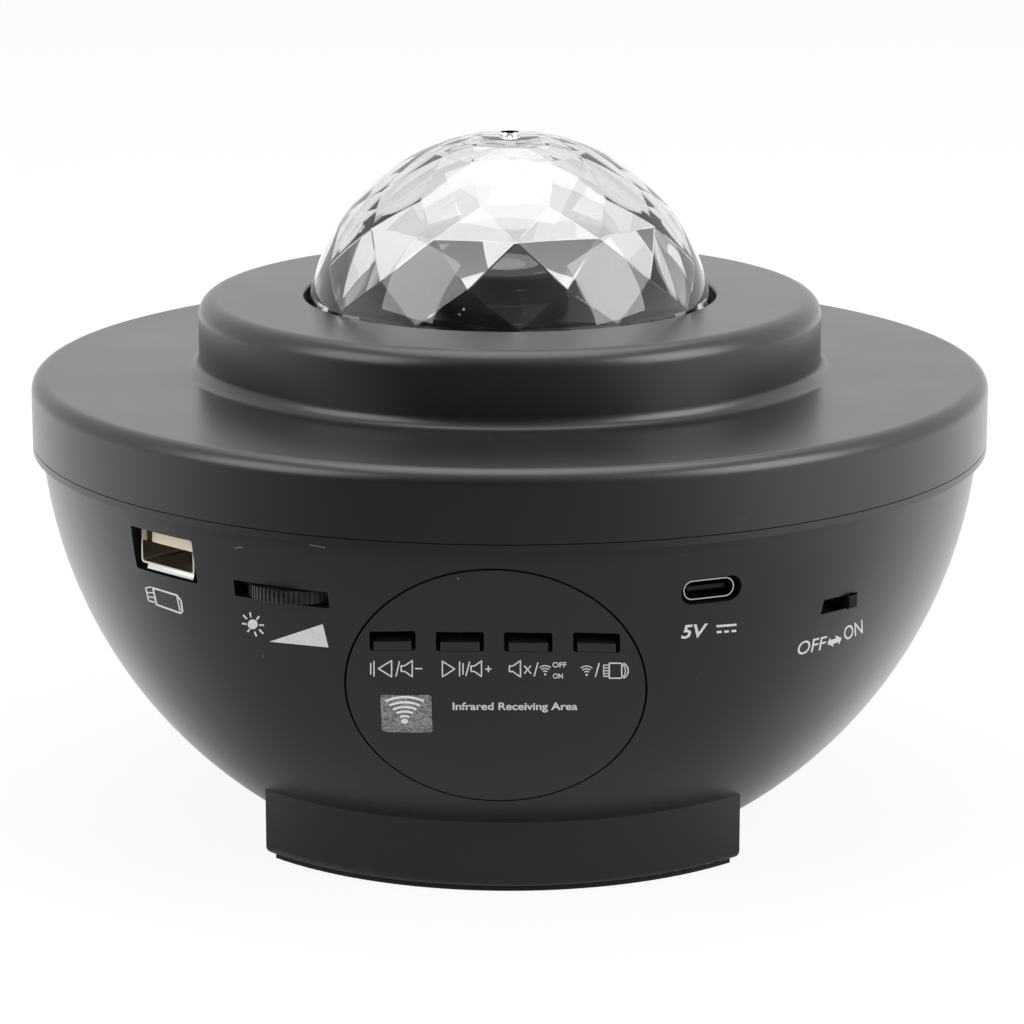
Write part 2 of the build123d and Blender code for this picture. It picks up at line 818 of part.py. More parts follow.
chassis_screws = screws(lid_screw_spots, chassis_bottom_z, True)
save(chassis_screws, "chassis_screws")

motor_face_z = chassis_bottom_z
shaft_bottom_z = motor_face_z - motor_shaft_depth

with BuildPart() as gear_motor:
    with BuildSketch(Plane.XY.offset(motor_face_z - motor_height)):
        with Locations((0, gear_distance)):
            Circle(motor_radius)
    extrude(amount=motor_height)
    with BuildSketch(Plane.XY.offset(motor_face_z - motor_ear_thickness)):
        with Locations((0, gear_distance)):
            SlotCenterToCenter(2 * motor_ear_reach, motor_ear_width)
        with Locations(*motor_screw_spots):
            Circle(screw_shaft_radius + fit_gap, mode=Mode.SUBTRACT)
    extrude(amount=motor_ear_thickness)
    with BuildSketch(Plane.XY.offset(motor_face_z)):
        with Locations((0, gear_distance)):
            Circle(motor_boss_radius)
    extrude(amount=motor_boss_height)
    with BuildSketch(Plane.XY.offset(motor_face_z + motor_boss_height)):
        with Locations((0, gear_distance)):
            Circle(motor_shaft_radius + running_gap)
    extrude(amount=-motor_boss_height - motor_shaft_depth - fit_gap, mode=Mode.SUBTRACT)
    bottom_edges = gear_motor.edges().filter_by(GeomType.CIRCLE).group_by(Axis.Z)[0]
    chamfer(bottom_edges, motor_edge)
save(gear_motor, "gear_motor")

motor_screws = screws(
    motor_screw_spots, motor_face_z - motor_ear_thickness, True, motor_ear_thickness + chassis_thickness
)
save(motor_screws, "motor_screws")

with BuildPart() as motor_pinion:
    with BuildSketch(Plane.XY.offset(gear_bottom_z + pinion_lift)):
        with BuildLine():
            Polyline(*gear_outline(pinion_teeth, -90.0 + 180.0 / pinion_teeth), close=True)
        make_face()
    extrude(amount=gear_thickness - pinion_lift)
    with BuildSketch(Plane.XY.offset(shaft_bottom_z)):
        Circle(motor_shaft_radius)
    extrude(amount=gear_top_z + motor_shaft_end - shaft_bottom_z)
motor_pinion.part = motor_pinion.part.moved(Location((0, gear_distance, 0)))
save(motor_pinion, "motor_pinion")

# ---------------------------------------------------------------- light tower
led_board_top_z = led_board_z + led_board_thickness

with BuildPart() as heat_sink:
    with BuildSketch(Plane.XY.offset(chassis_top_z)):
        Circle(sink_radius)
        Circle(laser_radius + fit_gap, mode=Mode.SUBTRACT)
    extrude(amount=sink_height)
    with BuildSketch(Plane.XY.offset(chassis_top_z)):
        with PolarLocations((sink_radius + sink_core_radius) / 2, sink_slot_count):
            Rectangle(sink_radius - sink_core_radius, sink_slot_width)
    extrude(amount=sink_height - sink_base, mode=Mode.SUBTRACT)
save(heat_sink, "heat_sink")

with BuildPart() as led_board:
    with BuildSketch(Plane.XY.offset(led_board_z)):
        Circle(led_board_radius)
        Circle(laser_radius + fit_gap, mode=Mode.SUBTRACT)
    extrude(amount=led_board_thickness)
save(led_board, "led_board")

with BuildPart() as led_chips:
    with BuildSketch(Plane.XY.offset(led_board_top_z)):
        with PolarLocations(led_circle, led_count, start_angle=led_start):
            Rectangle(led_size, led_size)
    extrude(amount=led_height)
save(led_chips, "led_chips")

with BuildPart() as lens_body:
    with BuildSketch(Plane.XZ):
        with BuildLine():
            Line((0, 0), (lens_radius, 0))
            Line((lens_radius, 0), (lens_radius, lens_base))
            ThreePointArc(
                (lens_radius, lens_base),
                (lens_radius / 2, lens_base + cap_height(lens_radius / 2, lens_radius, lens_height - lens_base)),
                (0, lens_height),
            )
            Line((0, lens_height), (0, 0))
        make_face()
    revolve(axis=Axis.Z)
    Box(
        led_size + 2 * fit_gap,
        led_size + 2 * fit_gap,
        led_height + fit_gap,
        align=(Align.CENTER, Align.CENTER, Align.MIN),
        mode=Mode.SUBTRACT,
    )

with BuildPart() as led_lenses:
    for index in range(led_count):
        angle = led_start + 360 * index / led_count
        reach = led_circle * cos(radians(angle)), led_circle * sin(radians(angle))
        with Locations(Location((*reach, led_board_top_z), (0, 0, angle))):
            add(lens_body.part)
save(led_lenses, "led_lenses")

with BuildPart() as lamp_cover:
    with BuildSketch(Plane.XY.offset(cover_top_z - cover_thickness)):
        Circle(cover_radius)
        with PolarLocations(led_circle, led_count, start_angle=led_start):
            Circle(lens_radius + cover_window_gap, mode=Mode.SUBTRACT)
        Circle(laser_radius + fit_gap, mode=Mode.SUBTRACT)
    extrude(amount=cover_thickness)
    with BuildSketch(Plane.XY.offset(retainer_top_z)):
        Circle(cover_radius)
        Circle(cover_radius - cover_thickness, mode=Mode.SUBTRACT)
    extrude(amount=cover_top_z - cover_thickness - retainer_top_z)
    top_edges = lamp_cover.edges().filter_by(GeomType.CIRCLE).group_by(Axis.Z)[-1].sort_by(SortBy.RADIUS)
    fillet(top_edges[-1], cover_edge)
save(lamp_cover, "lamp_cover")

with BuildPart() as laser_barrel:
    with BuildSketch(Plane.XY.offset(chassis_top_z)):
        Circle(laser_radius)
    extrude(amount=laser_top_z - chassis_top_z)
    with BuildSketch(Plane.XY.offset(laser_top_z)):
        Circle(laser_lens_radius)
    extrude(amount=-laser_bore_depth, mode=Mode.SUBTRACT)
save(laser_barrel, "laser_barrel")

with BuildPart() as laser_lens:
    with BuildSketch(Plane.XY.offset(laser_top_z - laser_bore_depth)):
        Circle(laser_lens_radius - fit_gap / 2)
    extrude(amount=laser_lens_thickness)
save(laser_lens, "laser_lens")

with BuildPart() as grating_holder:
    with BuildSketch(Plane.XY.offset(laser_cap_bottom_z)):
        Circle(laser_cap_radius)
    extrude(amount=laser_cap_top_z - laser_cap_bottom_z)
    with BuildSketch(Plane.XY.offset(laser_cap_bottom_z)):
        Circle(laser_radius + running_gap)
    extrude(amount=laser_top_z - laser_cap_bottom_z, mode=Mode.SUBTRACT)
    with BuildSketch(Plane.XY.offset(laser_top_z)):
        Circle(beam_radius)
    extrude(amount=laser_cap_top_z - laser_top_z, mode=Mode.SUBTRACT)
    with BuildSketch(Plane.XY.offset(laser_cap_top_z)):
        Circle(grating_radius + running_gap)
    extrude(amount=-grating_thickness, mode=Mode.SUBTRACT)
    rim_edges = grating_holder.edges().filter_by(GeomType.CIRCLE).group_by(Axis.Z)[-1]
    fillet(rim_edges.sort_by(SortBy.RADIUS)[-1], cover_edge)
save(grating_holder, "grating_holder")

with BuildPart() as grating_disc:
    with BuildSketch(Plane.XY.offset(laser_cap_top_z - grating_thickness)):
        Circle(grating_radius)
    extrude(amount=grating_thickness)
save(grating_disc, "grating_disc")

# ---------------------------------------------------------------- main circuit board
wheel_reach = sphere_reach(wheel_z) + wheel_protrusion - wheel_radius
wheel_bottom_z = wheel_z - wheel_thickness / 2
wheel_top_z = wheel_z + wheel_thickness / 2
wheel_axis = polar(wheel_azimuth, wheel_reach, 0)

with BuildPart() as main_board:
    with BuildSketch(Plane.XY.offset(board_bottom_z)):
        Circle(board_radius)
        with Locations((0, board_back_y)):
            Rectangle(
                2 * board_half_width, board_radius, align=(Align.CENTER, Align.MAX), mode=Mode.INTERSECT
            )
        with Locations((0, board_notch_y)):
            Rectangle(
                2 * board_notch_half_width,
                board_radius,
                align=(Align.CENTER, Align.MAX),
                mode=Mode.SUBTRACT,
            )
        with Locations((wheel_axis.X, wheel_axis.Y)):
            Circle(wheel_radius + board_wheel_gap, mode=Mode.SUBTRACT)
        with Locations(*board_post_places):
            Circle(screw_shaft_radius + fit_gap, mode=Mode.SUBTRACT)
    extrude(amount=board_thickness)
save(main_board, "main_board")

board_screws = screws(board_post_places, board_top_z, False)
save(board_screws, "board_screws")

with BuildPart() as wheel_pot:
    with BuildSketch(level_plane(wheel_azimuth, wheel_reach, wheel_bottom_z - pot_gap)):
        Circle(pot_radius)
    extrude(amount=-pot_height)
    with BuildSketch(level_plane(wheel_azimuth, wheel_reach, board_bottom_z)):
        Rectangle(pot_arm_width, pot_arm_length, align=(Align.CENTER, Align.MIN))
    extrude(amount=-pot_arm_thickness)
    with BuildSketch(level_plane(wheel_azimuth, wheel_reach, wheel_bottom_z - pot_gap)):
        Circle(wheel_pin_radius)
    extrude(amount=wheel_thickness + 2 * pot_gap)
    with BuildSketch(level_plane(wheel_azimuth, wheel_reach, wheel_top_z + pot_gap)):
        Circle(wheel_cap_radius)
    extrude(amount=wheel_cap_height)
save(wheel_pot, "wheel_pot")

with BuildPart() as brightness_wheel:
    with BuildSketch(level_plane(wheel_azimuth, wheel_reach, wheel_bottom_z)):
        Circle(wheel_radius)
        with PolarLocations(wheel_radius, wheel_knurl_count):
            Rectangle(2 * wheel_knurl_depth, wheel_knurl_width, mode=Mode.SUBTRACT)
        Circle(wheel_pin_radius + running_gap, mode=Mode.SUBTRACT)
    extrude(amount=wheel_thickness)
save(brightness_wheel, "brightness_wheel")

usb_a_front = sphere_reach(usb_a_z) - usb_a_recess
usb_a_face = facing_plane(usb_a_azimuth, usb_a_front, usb_a_z)

with BuildPart() as usb_a_shell:
    with BuildSketch(usb_a_face):
        RectangleRounded(usb_a_width, usb_a_height, usb_a_corner)
    extrude(amount=-usb_a_depth)
    with BuildSketch(usb_a_face):
        RectangleRounded(
            usb_a_width - 2 * usb_a_sheet, usb_a_height - 2 * usb_a_sheet, usb_a_corner - usb_a_sheet / 2
        )
    extrude(amount=-usb_a_depth, mode=Mode.SUBTRACT)
    with BuildSketch(usb_a_face.offset(-usb_a_depth / 2)):
        with Locations(
            (-usb_a_width / 3, -usb_a_height / 2),
            (usb_a_width / 3, -usb_a_height / 2),
        ):
            Rectangle(usb_a_foot_width, usb_a_lift, align=(Align.CENTER, Align.MAX))
        with Locations((-usb_a_width / 3, -usb_a_height / 2), (usb_a_width / 3, -usb_a_height / 2)):
            Rectangle(usb_a_foot_width, usb_a_sheet / 2, align=(Align.CENTER, Align.MIN))
    extrude(amount=-usb_a_depth / 2 + usb_a_corner)
save(usb_a_shell, "usb_a_shell")

tongue_a_y = usb_a_height / 2 - usb_a_sheet - tongue_a_top_gap

with BuildPart() as usb_a_tongue:
    with BuildSketch(usb_a_face.offset(-tongue_a_recess)):
        with Locations((0, tongue_a_y)):
            Rectangle(tongue_a_width, tongue_a_thickness, align=(Align.CENTER, Align.MAX))
    extrude(amount=-(usb_a_depth - tongue_a_recess))
    with BuildSketch(usb_a_face.offset(-usb_a_depth)):
        RectangleRounded(
            usb_a_width - 2 * usb_a_sheet - fit_gap / 2,
            usb_a_height - 2 * usb_a_sheet - fit_gap / 2,
            usb_a_corner,
        )
    extrude(amount=tongue_a_block)
save(usb_a_tongue, "usb_a_tongue")

usb_c_front = sphere_reach(usb_c_z) - usb_c_recess
usb_c_face = facing_plane(usb_c_azimuth, usb_c_front, usb_c_z)

with BuildPart() as usb_c_shell:
    with BuildSketch(usb_c_face):
        SlotOverall(usb_c_width, usb_c_height)
        SlotOverall(usb_c_width - 2 * usb_c_sheet, usb_c_height - 2 * usb_c_sheet, mode=Mode.SUBTRACT)
    extrude(amount=-usb_c_depth)
save(usb_c_shell, "usb_c_shell")

with BuildPart() as usb_c_tongue:
    with BuildSketch(usb_c_face.offset(-usb_c_depth)):
        Rectangle(tongue_c_width, tongue_c_thickness)
    extrude(amount=tongue_c_length)
    with BuildSketch(usb_c_face.offset(-usb_c_depth)):
        SlotOverall(
            usb_c_width - 2 * usb_c_sheet - fit_gap / 2, usb_c_height - 2 * usb_c_sheet - fit_gap / 2
        )
    extrude(amount=tongue_c_block)
save(usb_c_tongue, "usb_c_tongue")

switch_front = sphere_reach(switch_z) - switch_body_recess
switch_face = facing_plane(switch_azimuth, switch_front, switch_z)
groove_width = switch_travel + lever_foot_width + 2 * lever_gap

with BuildPart() as switch_body:
    with BuildSketch(switch_face):
        Rectangle(switch_body_width, switch_body_height)
    extrude(amount=-switch_body_depth)
    with BuildSketch(switch_face):
        Rectangle(groove_width, lever_height + 2 * lever_gap)
    extrude(amount=-lever_foot_depth - lever_gap, mode=Mode.SUBTRACT)
    with BuildSketch(level_plane(switch_azimuth, switch_front, board_bottom_z)):
        with Locations((0, switch_body_depth / 2)):
            Rectangle(switch_leg_width, switch_body_depth / 2)
    extrude(amount=-(board_bottom_z - switch_z))
    with BuildSketch(switch_face):
        Rectangle(groove_width, lever_height + 2 * lever_gap)
    extrude(amount=-lever_foot_depth - lever_gap, mode=Mode.SUBTRACT)
save(switch_body, "switch_body")

with BuildPart() as switch_lever:
    with BuildSketch(switch_face):
        with Locations((switch_travel / 2, 0)):
            Rectangle(lever_foot_width, lever_height)
    extrude(amount=-lever_foot_depth)
    with BuildSketch(switch_face):
        with Locations((switch_travel / 2, 0)):
            Rectangle(lever_width, lever_height)
    extrude(amount=switch_body_recess + lever_protrusion)
    tip_edges = switch_lever.faces().sort_by(Axis((0, 0, 0), switch_face.z_dir))[-1].edges()
    fillet(tip_edges, lever_edge)
save(switch_lever, "switch_lever")

with BuildPart() as radio_module:
    with BuildSketch(Plane.XY.offset(board_top_z)):
        with Locations(radio_place):
            Rectangle(radio_width, radio_length)
    extrude(amount=radio_board)
    with BuildSketch(Plane.XY.offset(board_top_z + radio_board)):
        with Locations(radio_place):
            Rectangle(radio_width - radio_margin, radio_length - radio_margin)
    extrude(amount=radio_can)
save(radio_module, "radio_module")

with BuildPart() as board_chips:
    for chip_x, chip_y, chip_width, chip_length, chip_height in board_chip_list:
        with BuildSketch(Plane.XY.offset(board_top_z)):
            with Locations((chip_x, chip_y)):
                Rectangle(chip_width, chip_length)
        extrude(amount=chip_height)
save(board_chips, "board_chips")

with BuildPart() as capacitors:
    with BuildSketch(Plane.XY.offset(board_top_z)):
        with Locations(*capacitor_places):
            Circle(capacitor_radius)
    extrude(amount=capacitor_height)
save(capacitors, "capacitors")

with BuildPart() as wire_headers:
    with BuildSketch(Plane.XY.offset(board_top_z)):
        with Locations(*header_places):
            Rectangle(header_width, header_length)
    extrude(amount=header_height)
    with BuildSketch(Plane.XY.offset(board_top_z + header_height)):
        with Locations(*header_places):
            Rectangle(header_width - 2 * header_wall, header_length - 2 * header_wall)
    extrude(amount=-header_height + header_wall, mode=Mode.SUBTRACT)
save(wire_headers, "wire_headers")

# ---------------------------------------------------------------- control panel and keys


def window_outline(gap):
    """Corner points of the sensor window: upright sides, and sloping upper and lower edges."""
    half_width = window_width / 2 - gap
    half_height = window_height / 2 - gap
    rise = half_width * tan(radians(window_slope))
    return [
        (infrared_x - half_width, infrared_u - rise - half_height),
        (infrared_x + half_width, infrared_u + rise - half_height),
        (infrared_x + half_width, infrared_u + rise + half_height),
        (infrared_x - half_width, infrared_u - rise + half_height),
    ]


with BuildPart() as panel_bosses:
    with BuildSketch(panel_base.offset(key_board_front)):
        with Locations(*key_board_posts):
            Circle(key_board_post_radius)
    extrude(amount=key_board_depth)
    with Locations(bowl_centre):
        Sphere(bowl_radius - wall / 2, mode=Mode.INTERSECT)
    with BuildSketch(panel_base.offset(key_board_front)):
        with Locations(*key_board_posts):
            Circle(screw_core_radius)
    extrude(amount=key_board_screw_depth, mode=Mode.SUBTRACT)

with BuildPart() as panel_rim:
    with BuildSketch(panel_base):
        Circle(panel_radius + panel_flange)
        Circle(panel_radius - panel_flange_inset, mode=Mode.SUBTRACT)
    extrude(amount=bowl_radius)
    with Locations(bowl_centre):
        Sphere(bowl_radius - wall - running_gap, mode=Mode.INTERSECT)
        Sphere(bowl_radius - wall - panel_flange_thickness, mode=Mode.SUBTRACT)

with BuildPart() as control_panel:
    with BuildSketch(panel_base):
        Circle(panel_radius)
    extrude(amount=bowl_radius + wall)
    with Locations(bowl_centre):
        Sphere(bowl_radius, mode=Mode.INTERSECT)
    with BuildSketch(panel_base):
        Circle(panel_radius - panel_flange_inset)
    extrude(amount=bowl_radius * cos(asin(panel_radius / bowl_radius)) - wall - running_gap)
    with Locations(bowl_centre):
        Sphere(bowl_radius - wall, mode=Mode.SUBTRACT)
    add(panel_rim.part)
    add(panel_bosses.part)
    for place in key_places:
        with BuildSketch(key_plane(place).offset(wall)) as key_opening:
            Polygon(*key_outline(place, key_opening_width / 2, 0, key_opening_height), align=None)
            fillet(key_opening.vertices(), key_opening_corner)
        extrude(amount=-2 * wall - panel_flange_thickness - wall, mode=Mode.SUBTRACT)
        with BuildSketch(key_side_plane(place)):
            with Locations((0, -key_axis_depth)):
                Circle(key_knuckle_radius + key_knuckle_gap)
                Rectangle(
                    2 * (key_knuckle_radius + key_knuckle_gap),
                    2 * wall,
                    align=(Align.CENTER, Align.MAX),
                )
        extrude(
            amount=key_opening_width / 2 - key_side_gap + lever_gap, both=True, mode=Mode.SUBTRACT
        )
    with BuildSketch(panel_base) as window_opening:
        Polygon(*window_outline(0), align=None)
        fillet(window_opening.vertices(), key_opening_corner)
    extrude(amount=bowl_radius + wall, mode=Mode.SUBTRACT)
save(control_panel, "control_panel")

with BuildPart() as sensor_window:
    with BuildSketch(panel_base) as window_pane:
        Polygon(*window_outline(window_gap), align=None)
        fillet(window_pane.vertices(), key_opening_corner)
    extrude(amount=bowl_radius + wall)
    with Locations(bowl_centre):
        Sphere(bowl_radius, mode=Mode.INTERSECT)
        Sphere(bowl_radius - window_thickness, mode=Mode.SUBTRACT)
save(sensor_window, "sensor_window")


def key(place):
    """One hinged key, its outer face flush with the sphere."""
    half_width = key_opening_width / 2 - key_side_gap
    point = key_press_point(place)
    with BuildPart() as piece:
        with BuildSketch(key_side_plane(place)):
            with Locations((0, -key_axis_depth)):
                Circle(key_knuckle_radius)
        extrude(amount=half_width, both=True)
        with BuildSketch(key_plane(place).offset(wall)):
            Polygon(
                *key_outline(place, half_width, key_root_gap, key_opening_height - key_bar),
                align=None,
            )
        extrude(amount=-wall - key_axis_depth - key_knuckle_radius)
        with Locations(bowl_centre):
            Sphere(bowl_radius, mode=Mode.INTERSECT)
        with BuildSketch(panel_base.offset(tact_top + key_peg_gap)):
            with Locations((point.X, point.Y)):
                Circle(key_peg_radius)
        extrude(amount=point.Z - tact_top - key_peg_gap + key_knuckle_radius)
    return piece


for number, place in enumerate(key_places, start=1):
    save(key(place), f"key_{number}")

tact_spots = [(key_press_point(place).X, key_press_point(place).Y) for place in key_places]

with BuildPart() as key_board:
    with BuildSketch(panel_base.offset(key_board_front - key_board_thickness)):
        with Locations((0, (key_board_low + key_board_high) / 2)):
            Rectangle(2 * key_board_half_width, key_board_high - key_board_low)
        with Locations(*key_board_posts):
            Circle(screw_shaft_radius + fit_gap, mode=Mode.SUBTRACT)
    extrude(amount=key_board_thickness)
save(key_board, "key_board")

with BuildPart() as key_board_screws:
    with BuildSketch(panel_base.offset(key_board_front - key_board_thickness - screw_head_height)):
        with Locations(*key_board_posts):
            Circle(screw_head_radius)
    extrude(amount=screw_head_height)
    with BuildSketch(panel_base.offset(key_board_front - key_board_thickness)):
        with Locations(*key_board_posts):
            Circle(screw_shaft_radius)
    extrude(amount=key_board_thickness + key_board_screw_depth - fit_gap)
save(key_board_screws, "key_board_screws")

with BuildPart() as tact_bodies:
    with BuildSketch(panel_base.offset(key_board_front)):
        with Locations(*tact_spots):
            Rectangle(tact_size, tact_size)
    extrude(amount=tact_body_height)
    with BuildSketch(panel_base.offset(key_board_front + tact_body_height)):
        with Locations(*tact_spots):
            Circle(tact_plunger_radius + running_gap)
    extrude(amount=-tact_plunger_seat - tact_travel, mode=Mode.SUBTRACT)
save(tact_bodies, "tact_bodies")

for number, spot in enumerate(tact_spots, start=1):
    with BuildPart() as tact_plunger:
        with BuildSketch(panel_base.offset(key_board_front + tact_body_height - tact_plunger_seat)):
            with Locations(spot):
                Circle(tact_plunger_radius)
        extrude(amount=tact_plunger_seat + tact_plunger_height)
    save(tact_plunger, f"tact_plunger_{number}")

with BuildPart() as infrared_receiver:
    with BuildSketch(panel_base.offset(key_board_front)):
        with Locations((infrared_x, infrared_u)):
            Rectangle(infrared_width, infrared_length)
    extrude(amount=infrared_height)
    dome_place = panel_base.from_local_coords(
        Vector(infrared_x, infrared_u, key_board_front + infrared_height)
    )
    with Locations(dome_place):
        Sphere(infrared_dome)
save(infrared_receiver, "infrared_receiver")

# ---------------------------------------------------------------- speaker
flange_top_z = plate_top_z + speaker_flange
basket_top_z = plate_top_z + speaker_basket_height
rim_z = flange_top_z + surround_sheet
cone_top_z = flange_top_z + cone_depth
with BuildPart() as speaker_frame:
    with BuildSketch(Plane.XZ):
        with BuildLine():
            Polyline(
                (surround_outer - surround_seat, plate_top_z),
                (speaker_radius, plate_top_z),
                (speaker_radius, flange_top_z),
                (basket_foot_radius, flange_top_z),
                (speaker_basket_top_radius, basket_top_z),
                (coil_radius + coil_gap, basket_top_z),
                (coil_radius + coil_gap, basket_top_z - speaker_sheet),
                (speaker_basket_top_radius - speaker_sheet / 2, basket_top_z - speaker_sheet),
                (basket_foot_radius - speaker_sheet, flange_top_z),
                (surround_outer - surround_seat, flange_top_z),
                close=True,
            )
        make_face()
    revolve(axis=Axis.Z)
    with BuildSketch(Plane.XY.offset(flange_top_z + basket_rim)):
        with PolarLocations((basket_foot_radius + speaker_basket_top_radius) / 2, 4):
            Rectangle(basket_foot_radius - speaker_basket_top_radius, basket_window)
    extrude(amount=basket_top_z - flange_top_z - 2 * basket_rim, mode=Mode.SUBTRACT)
    with BuildSketch(Plane.XY.offset(plate_top_z)):
        with Locations(*speaker_spots):
            Circle(screw_shaft_radius + fit_gap)
    extrude(amount=speaker_flange, mode=Mode.SUBTRACT)
save(speaker_frame, "speaker_frame")

with BuildPart() as speaker_magnet:
    with BuildSketch(Plane.XY.offset(basket_top_z)):
        Circle(magnet_radius)
    extrude(amount=magnet_height)
    with BuildSketch(Plane.XY.offset(basket_top_z)):
        Circle(coil_radius - coil_sheet - coil_gap / 2)
    extrude(amount=-pole_depth)
save(speaker_magnet, "speaker_magnet")

with BuildPart() as speaker_surround:
    with BuildSketch(Plane.XZ):
        roll = (surround_outer - surround_seat - surround_inner) / 2
        middle = surround_inner + roll
        with BuildLine():
            Polyline(
                (surround_outer, rim_z),
                (surround_outer, flange_top_z),
                (middle + roll, flange_top_z),
            )
            ThreePointArc(
                (middle + roll, flange_top_z),
                (middle, flange_top_z + roll),
                (middle - roll, flange_top_z),
            )
            Polyline(
                (middle - roll, flange_top_z),
                (surround_inner - surround_seat, flange_top_z),
                (surround_inner - surround_seat, rim_z),
                (middle - roll - surround_sheet / 4, rim_z),
            )
            ThreePointArc(
                (middle - roll - surround_sheet / 4, rim_z),
                (middle, flange_top_z + roll + surround_sheet),
                (middle + roll + surround_sheet / 4, rim_z),
            )
            Line((middle + roll + surround_sheet / 4, rim_z), (surround_outer, rim_z))
        make_face()
    revolve(axis=Axis.Z)
save(speaker_surround, "speaker_surround")

with BuildPart() as speaker_cone:
    with BuildSketch(Plane.XZ):
        with BuildLine():
            Polyline(
                (surround_inner, flange_top_z),
                (surround_inner, flange_top_z - cone_sheet),
                (surround_inner - surround_seat, flange_top_z - cone_sheet),
                (coil_radius, cone_top_z - cone_sheet),
                (coil_radius - coil_sheet, cone_top_z - cone_sheet),
                (coil_radius - coil_sheet, cone_top_z + coil_length),
                (coil_radius, cone_top_z + coil_length),
                (coil_radius, cone_top_z),
                (surround_inner - surround_seat, flange_top_z),
                close=True,
            )
        make_face()
    revolve(axis=Axis.Z)
save(speaker_cone, "speaker_cone")

with BuildPart() as speaker_cap:
    with BuildSketch(Plane.XZ):
        cone_slope = cone_depth / (surround_inner - surround_seat - coil_radius)
        edge_z = cone_top_z - cone_sheet - (cap_radius - coil_radius) * cone_slope - running_gap
        inner_radius = cap_radius - cone_sheet
        inner_rise = cap_rise - cone_sheet
        outer_middle = edge_z - cap_height(cap_radius / 2, cap_radius, cap_rise)
        inner_middle = edge_z - cap_height(inner_radius / 2, inner_radius, inner_rise)
        with BuildLine():
            ThreePointArc((0, edge_z - cap_rise), (cap_radius / 2, outer_middle), (cap_radius, edge_z))
            Line((cap_radius, edge_z), (inner_radius, edge_z))
            ThreePointArc(
                (inner_radius, edge_z), (inner_radius / 2, inner_middle), (0, edge_z - inner_rise)
            )
            Line((0, edge_z - inner_rise), (0, edge_z - cap_rise))
        make_face()
    revolve(axis=Axis.Z)
save(speaker_cap, "speaker_cap")

speaker_screws = screws(
    speaker_spots, flange_top_z, False, speaker_flange + speaker_screw_depth
)
save(speaker_screws, "speaker_screws")
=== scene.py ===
import bpy
import json
from math import asin, atan2, cos, degrees, hypot, pi, radians, sin, sqrt
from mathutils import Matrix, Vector


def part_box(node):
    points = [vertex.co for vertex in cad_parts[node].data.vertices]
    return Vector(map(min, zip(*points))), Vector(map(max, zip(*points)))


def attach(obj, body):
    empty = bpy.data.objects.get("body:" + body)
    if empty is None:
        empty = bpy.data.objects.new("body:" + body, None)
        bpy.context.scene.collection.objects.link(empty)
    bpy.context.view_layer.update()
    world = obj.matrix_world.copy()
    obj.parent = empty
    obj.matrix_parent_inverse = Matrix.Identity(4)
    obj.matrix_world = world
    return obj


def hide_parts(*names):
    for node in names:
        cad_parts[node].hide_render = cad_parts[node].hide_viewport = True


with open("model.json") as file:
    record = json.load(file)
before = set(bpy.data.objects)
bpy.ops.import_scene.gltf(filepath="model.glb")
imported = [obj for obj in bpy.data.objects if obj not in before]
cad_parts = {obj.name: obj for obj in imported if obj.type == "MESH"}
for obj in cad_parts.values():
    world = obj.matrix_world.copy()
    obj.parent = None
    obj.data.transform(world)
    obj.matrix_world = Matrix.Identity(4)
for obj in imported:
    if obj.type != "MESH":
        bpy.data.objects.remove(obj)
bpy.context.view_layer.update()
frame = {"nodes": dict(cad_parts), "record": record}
cadNodes = frame["nodes"]
scene = bpy.context.scene
mm = 0.001
touch = 1e-6  # points nearer than this, in metres, count as one
origin = (0, 0, 0)
bowl = {"radius": 82.6, "centreZ": 72.1}  # the ball that the bowl and the key panel are cut from


def deselectAll():
    if bpy.context.mode != "OBJECT":
        bpy.ops.object.mode_set(mode="OBJECT")
    bpy.ops.object.select_all(action="DESELECT")


def pick(piece):
    deselectAll()
    piece.select_set(True)
    bpy.context.view_layer.objects.active = piece


def settle(piece):  # puts a piece's place into its mesh
    pick(piece)
    bpy.ops.object.transform_apply(location=True, rotation=True, scale=True)
    return piece


def edit(piece, mode="VERT"):
    pick(piece)
    bpy.ops.object.mode_set(mode="EDIT")
    bpy.ops.mesh.select_mode(type=mode)
    bpy.ops.mesh.select_all(action="DESELECT")


def editAll(piece, mode="VERT"):
    edit(piece, mode)
    bpy.ops.mesh.select_all(action="SELECT")


def done(piece):
    bpy.ops.object.mode_set(mode="OBJECT")
    return piece


def choose(piece, test):  # selects the points whose place passes a test
    bpy.ops.object.mode_set(mode="OBJECT")
    for group in (piece.data.polygons, piece.data.edges):
        for item in group:
            item.select = False
    for vertex in piece.data.vertices:
        vertex.select = bool(test(vertex.co))
    bpy.ops.object.mode_set(mode="EDIT")


def drawOut(rise, grow, where=origin):  # extrudes the selected edges upwards by mm and widens them
    bpy.ops.mesh.extrude_edges_move(TRANSFORM_OT_translate={"value": (0, 0, rise * mm)})
    bpy.ops.transform.resize(value=(grow, grow, 1), center_override=where)


def mend():  # merges what meets and turns all faces outwards
    bpy.ops.mesh.select_all(action="SELECT")
    bpy.ops.mesh.remove_doubles(threshold=touch)
    bpy.ops.mesh.normals_make_consistent(inside=False)


def cutAway(piece, tool):
    pick(piece)
    cut = piece.modifiers.new("cut", "BOOLEAN")
    cut.operation, cut.solver, cut.object = "DIFFERENCE", "EXACT", tool
    bpy.ops.object.modifier_apply(modifier=cut.name)
    bpy.data.objects.remove(tool)


def join(pieces):
    deselectAll()
    for piece in pieces:
        piece.select_set(True)
    bpy.context.view_layer.objects.active = pieces[0]
    if len(pieces) > 1:
        bpy.ops.object.join()
    return bpy.context.view_layer.objects.active


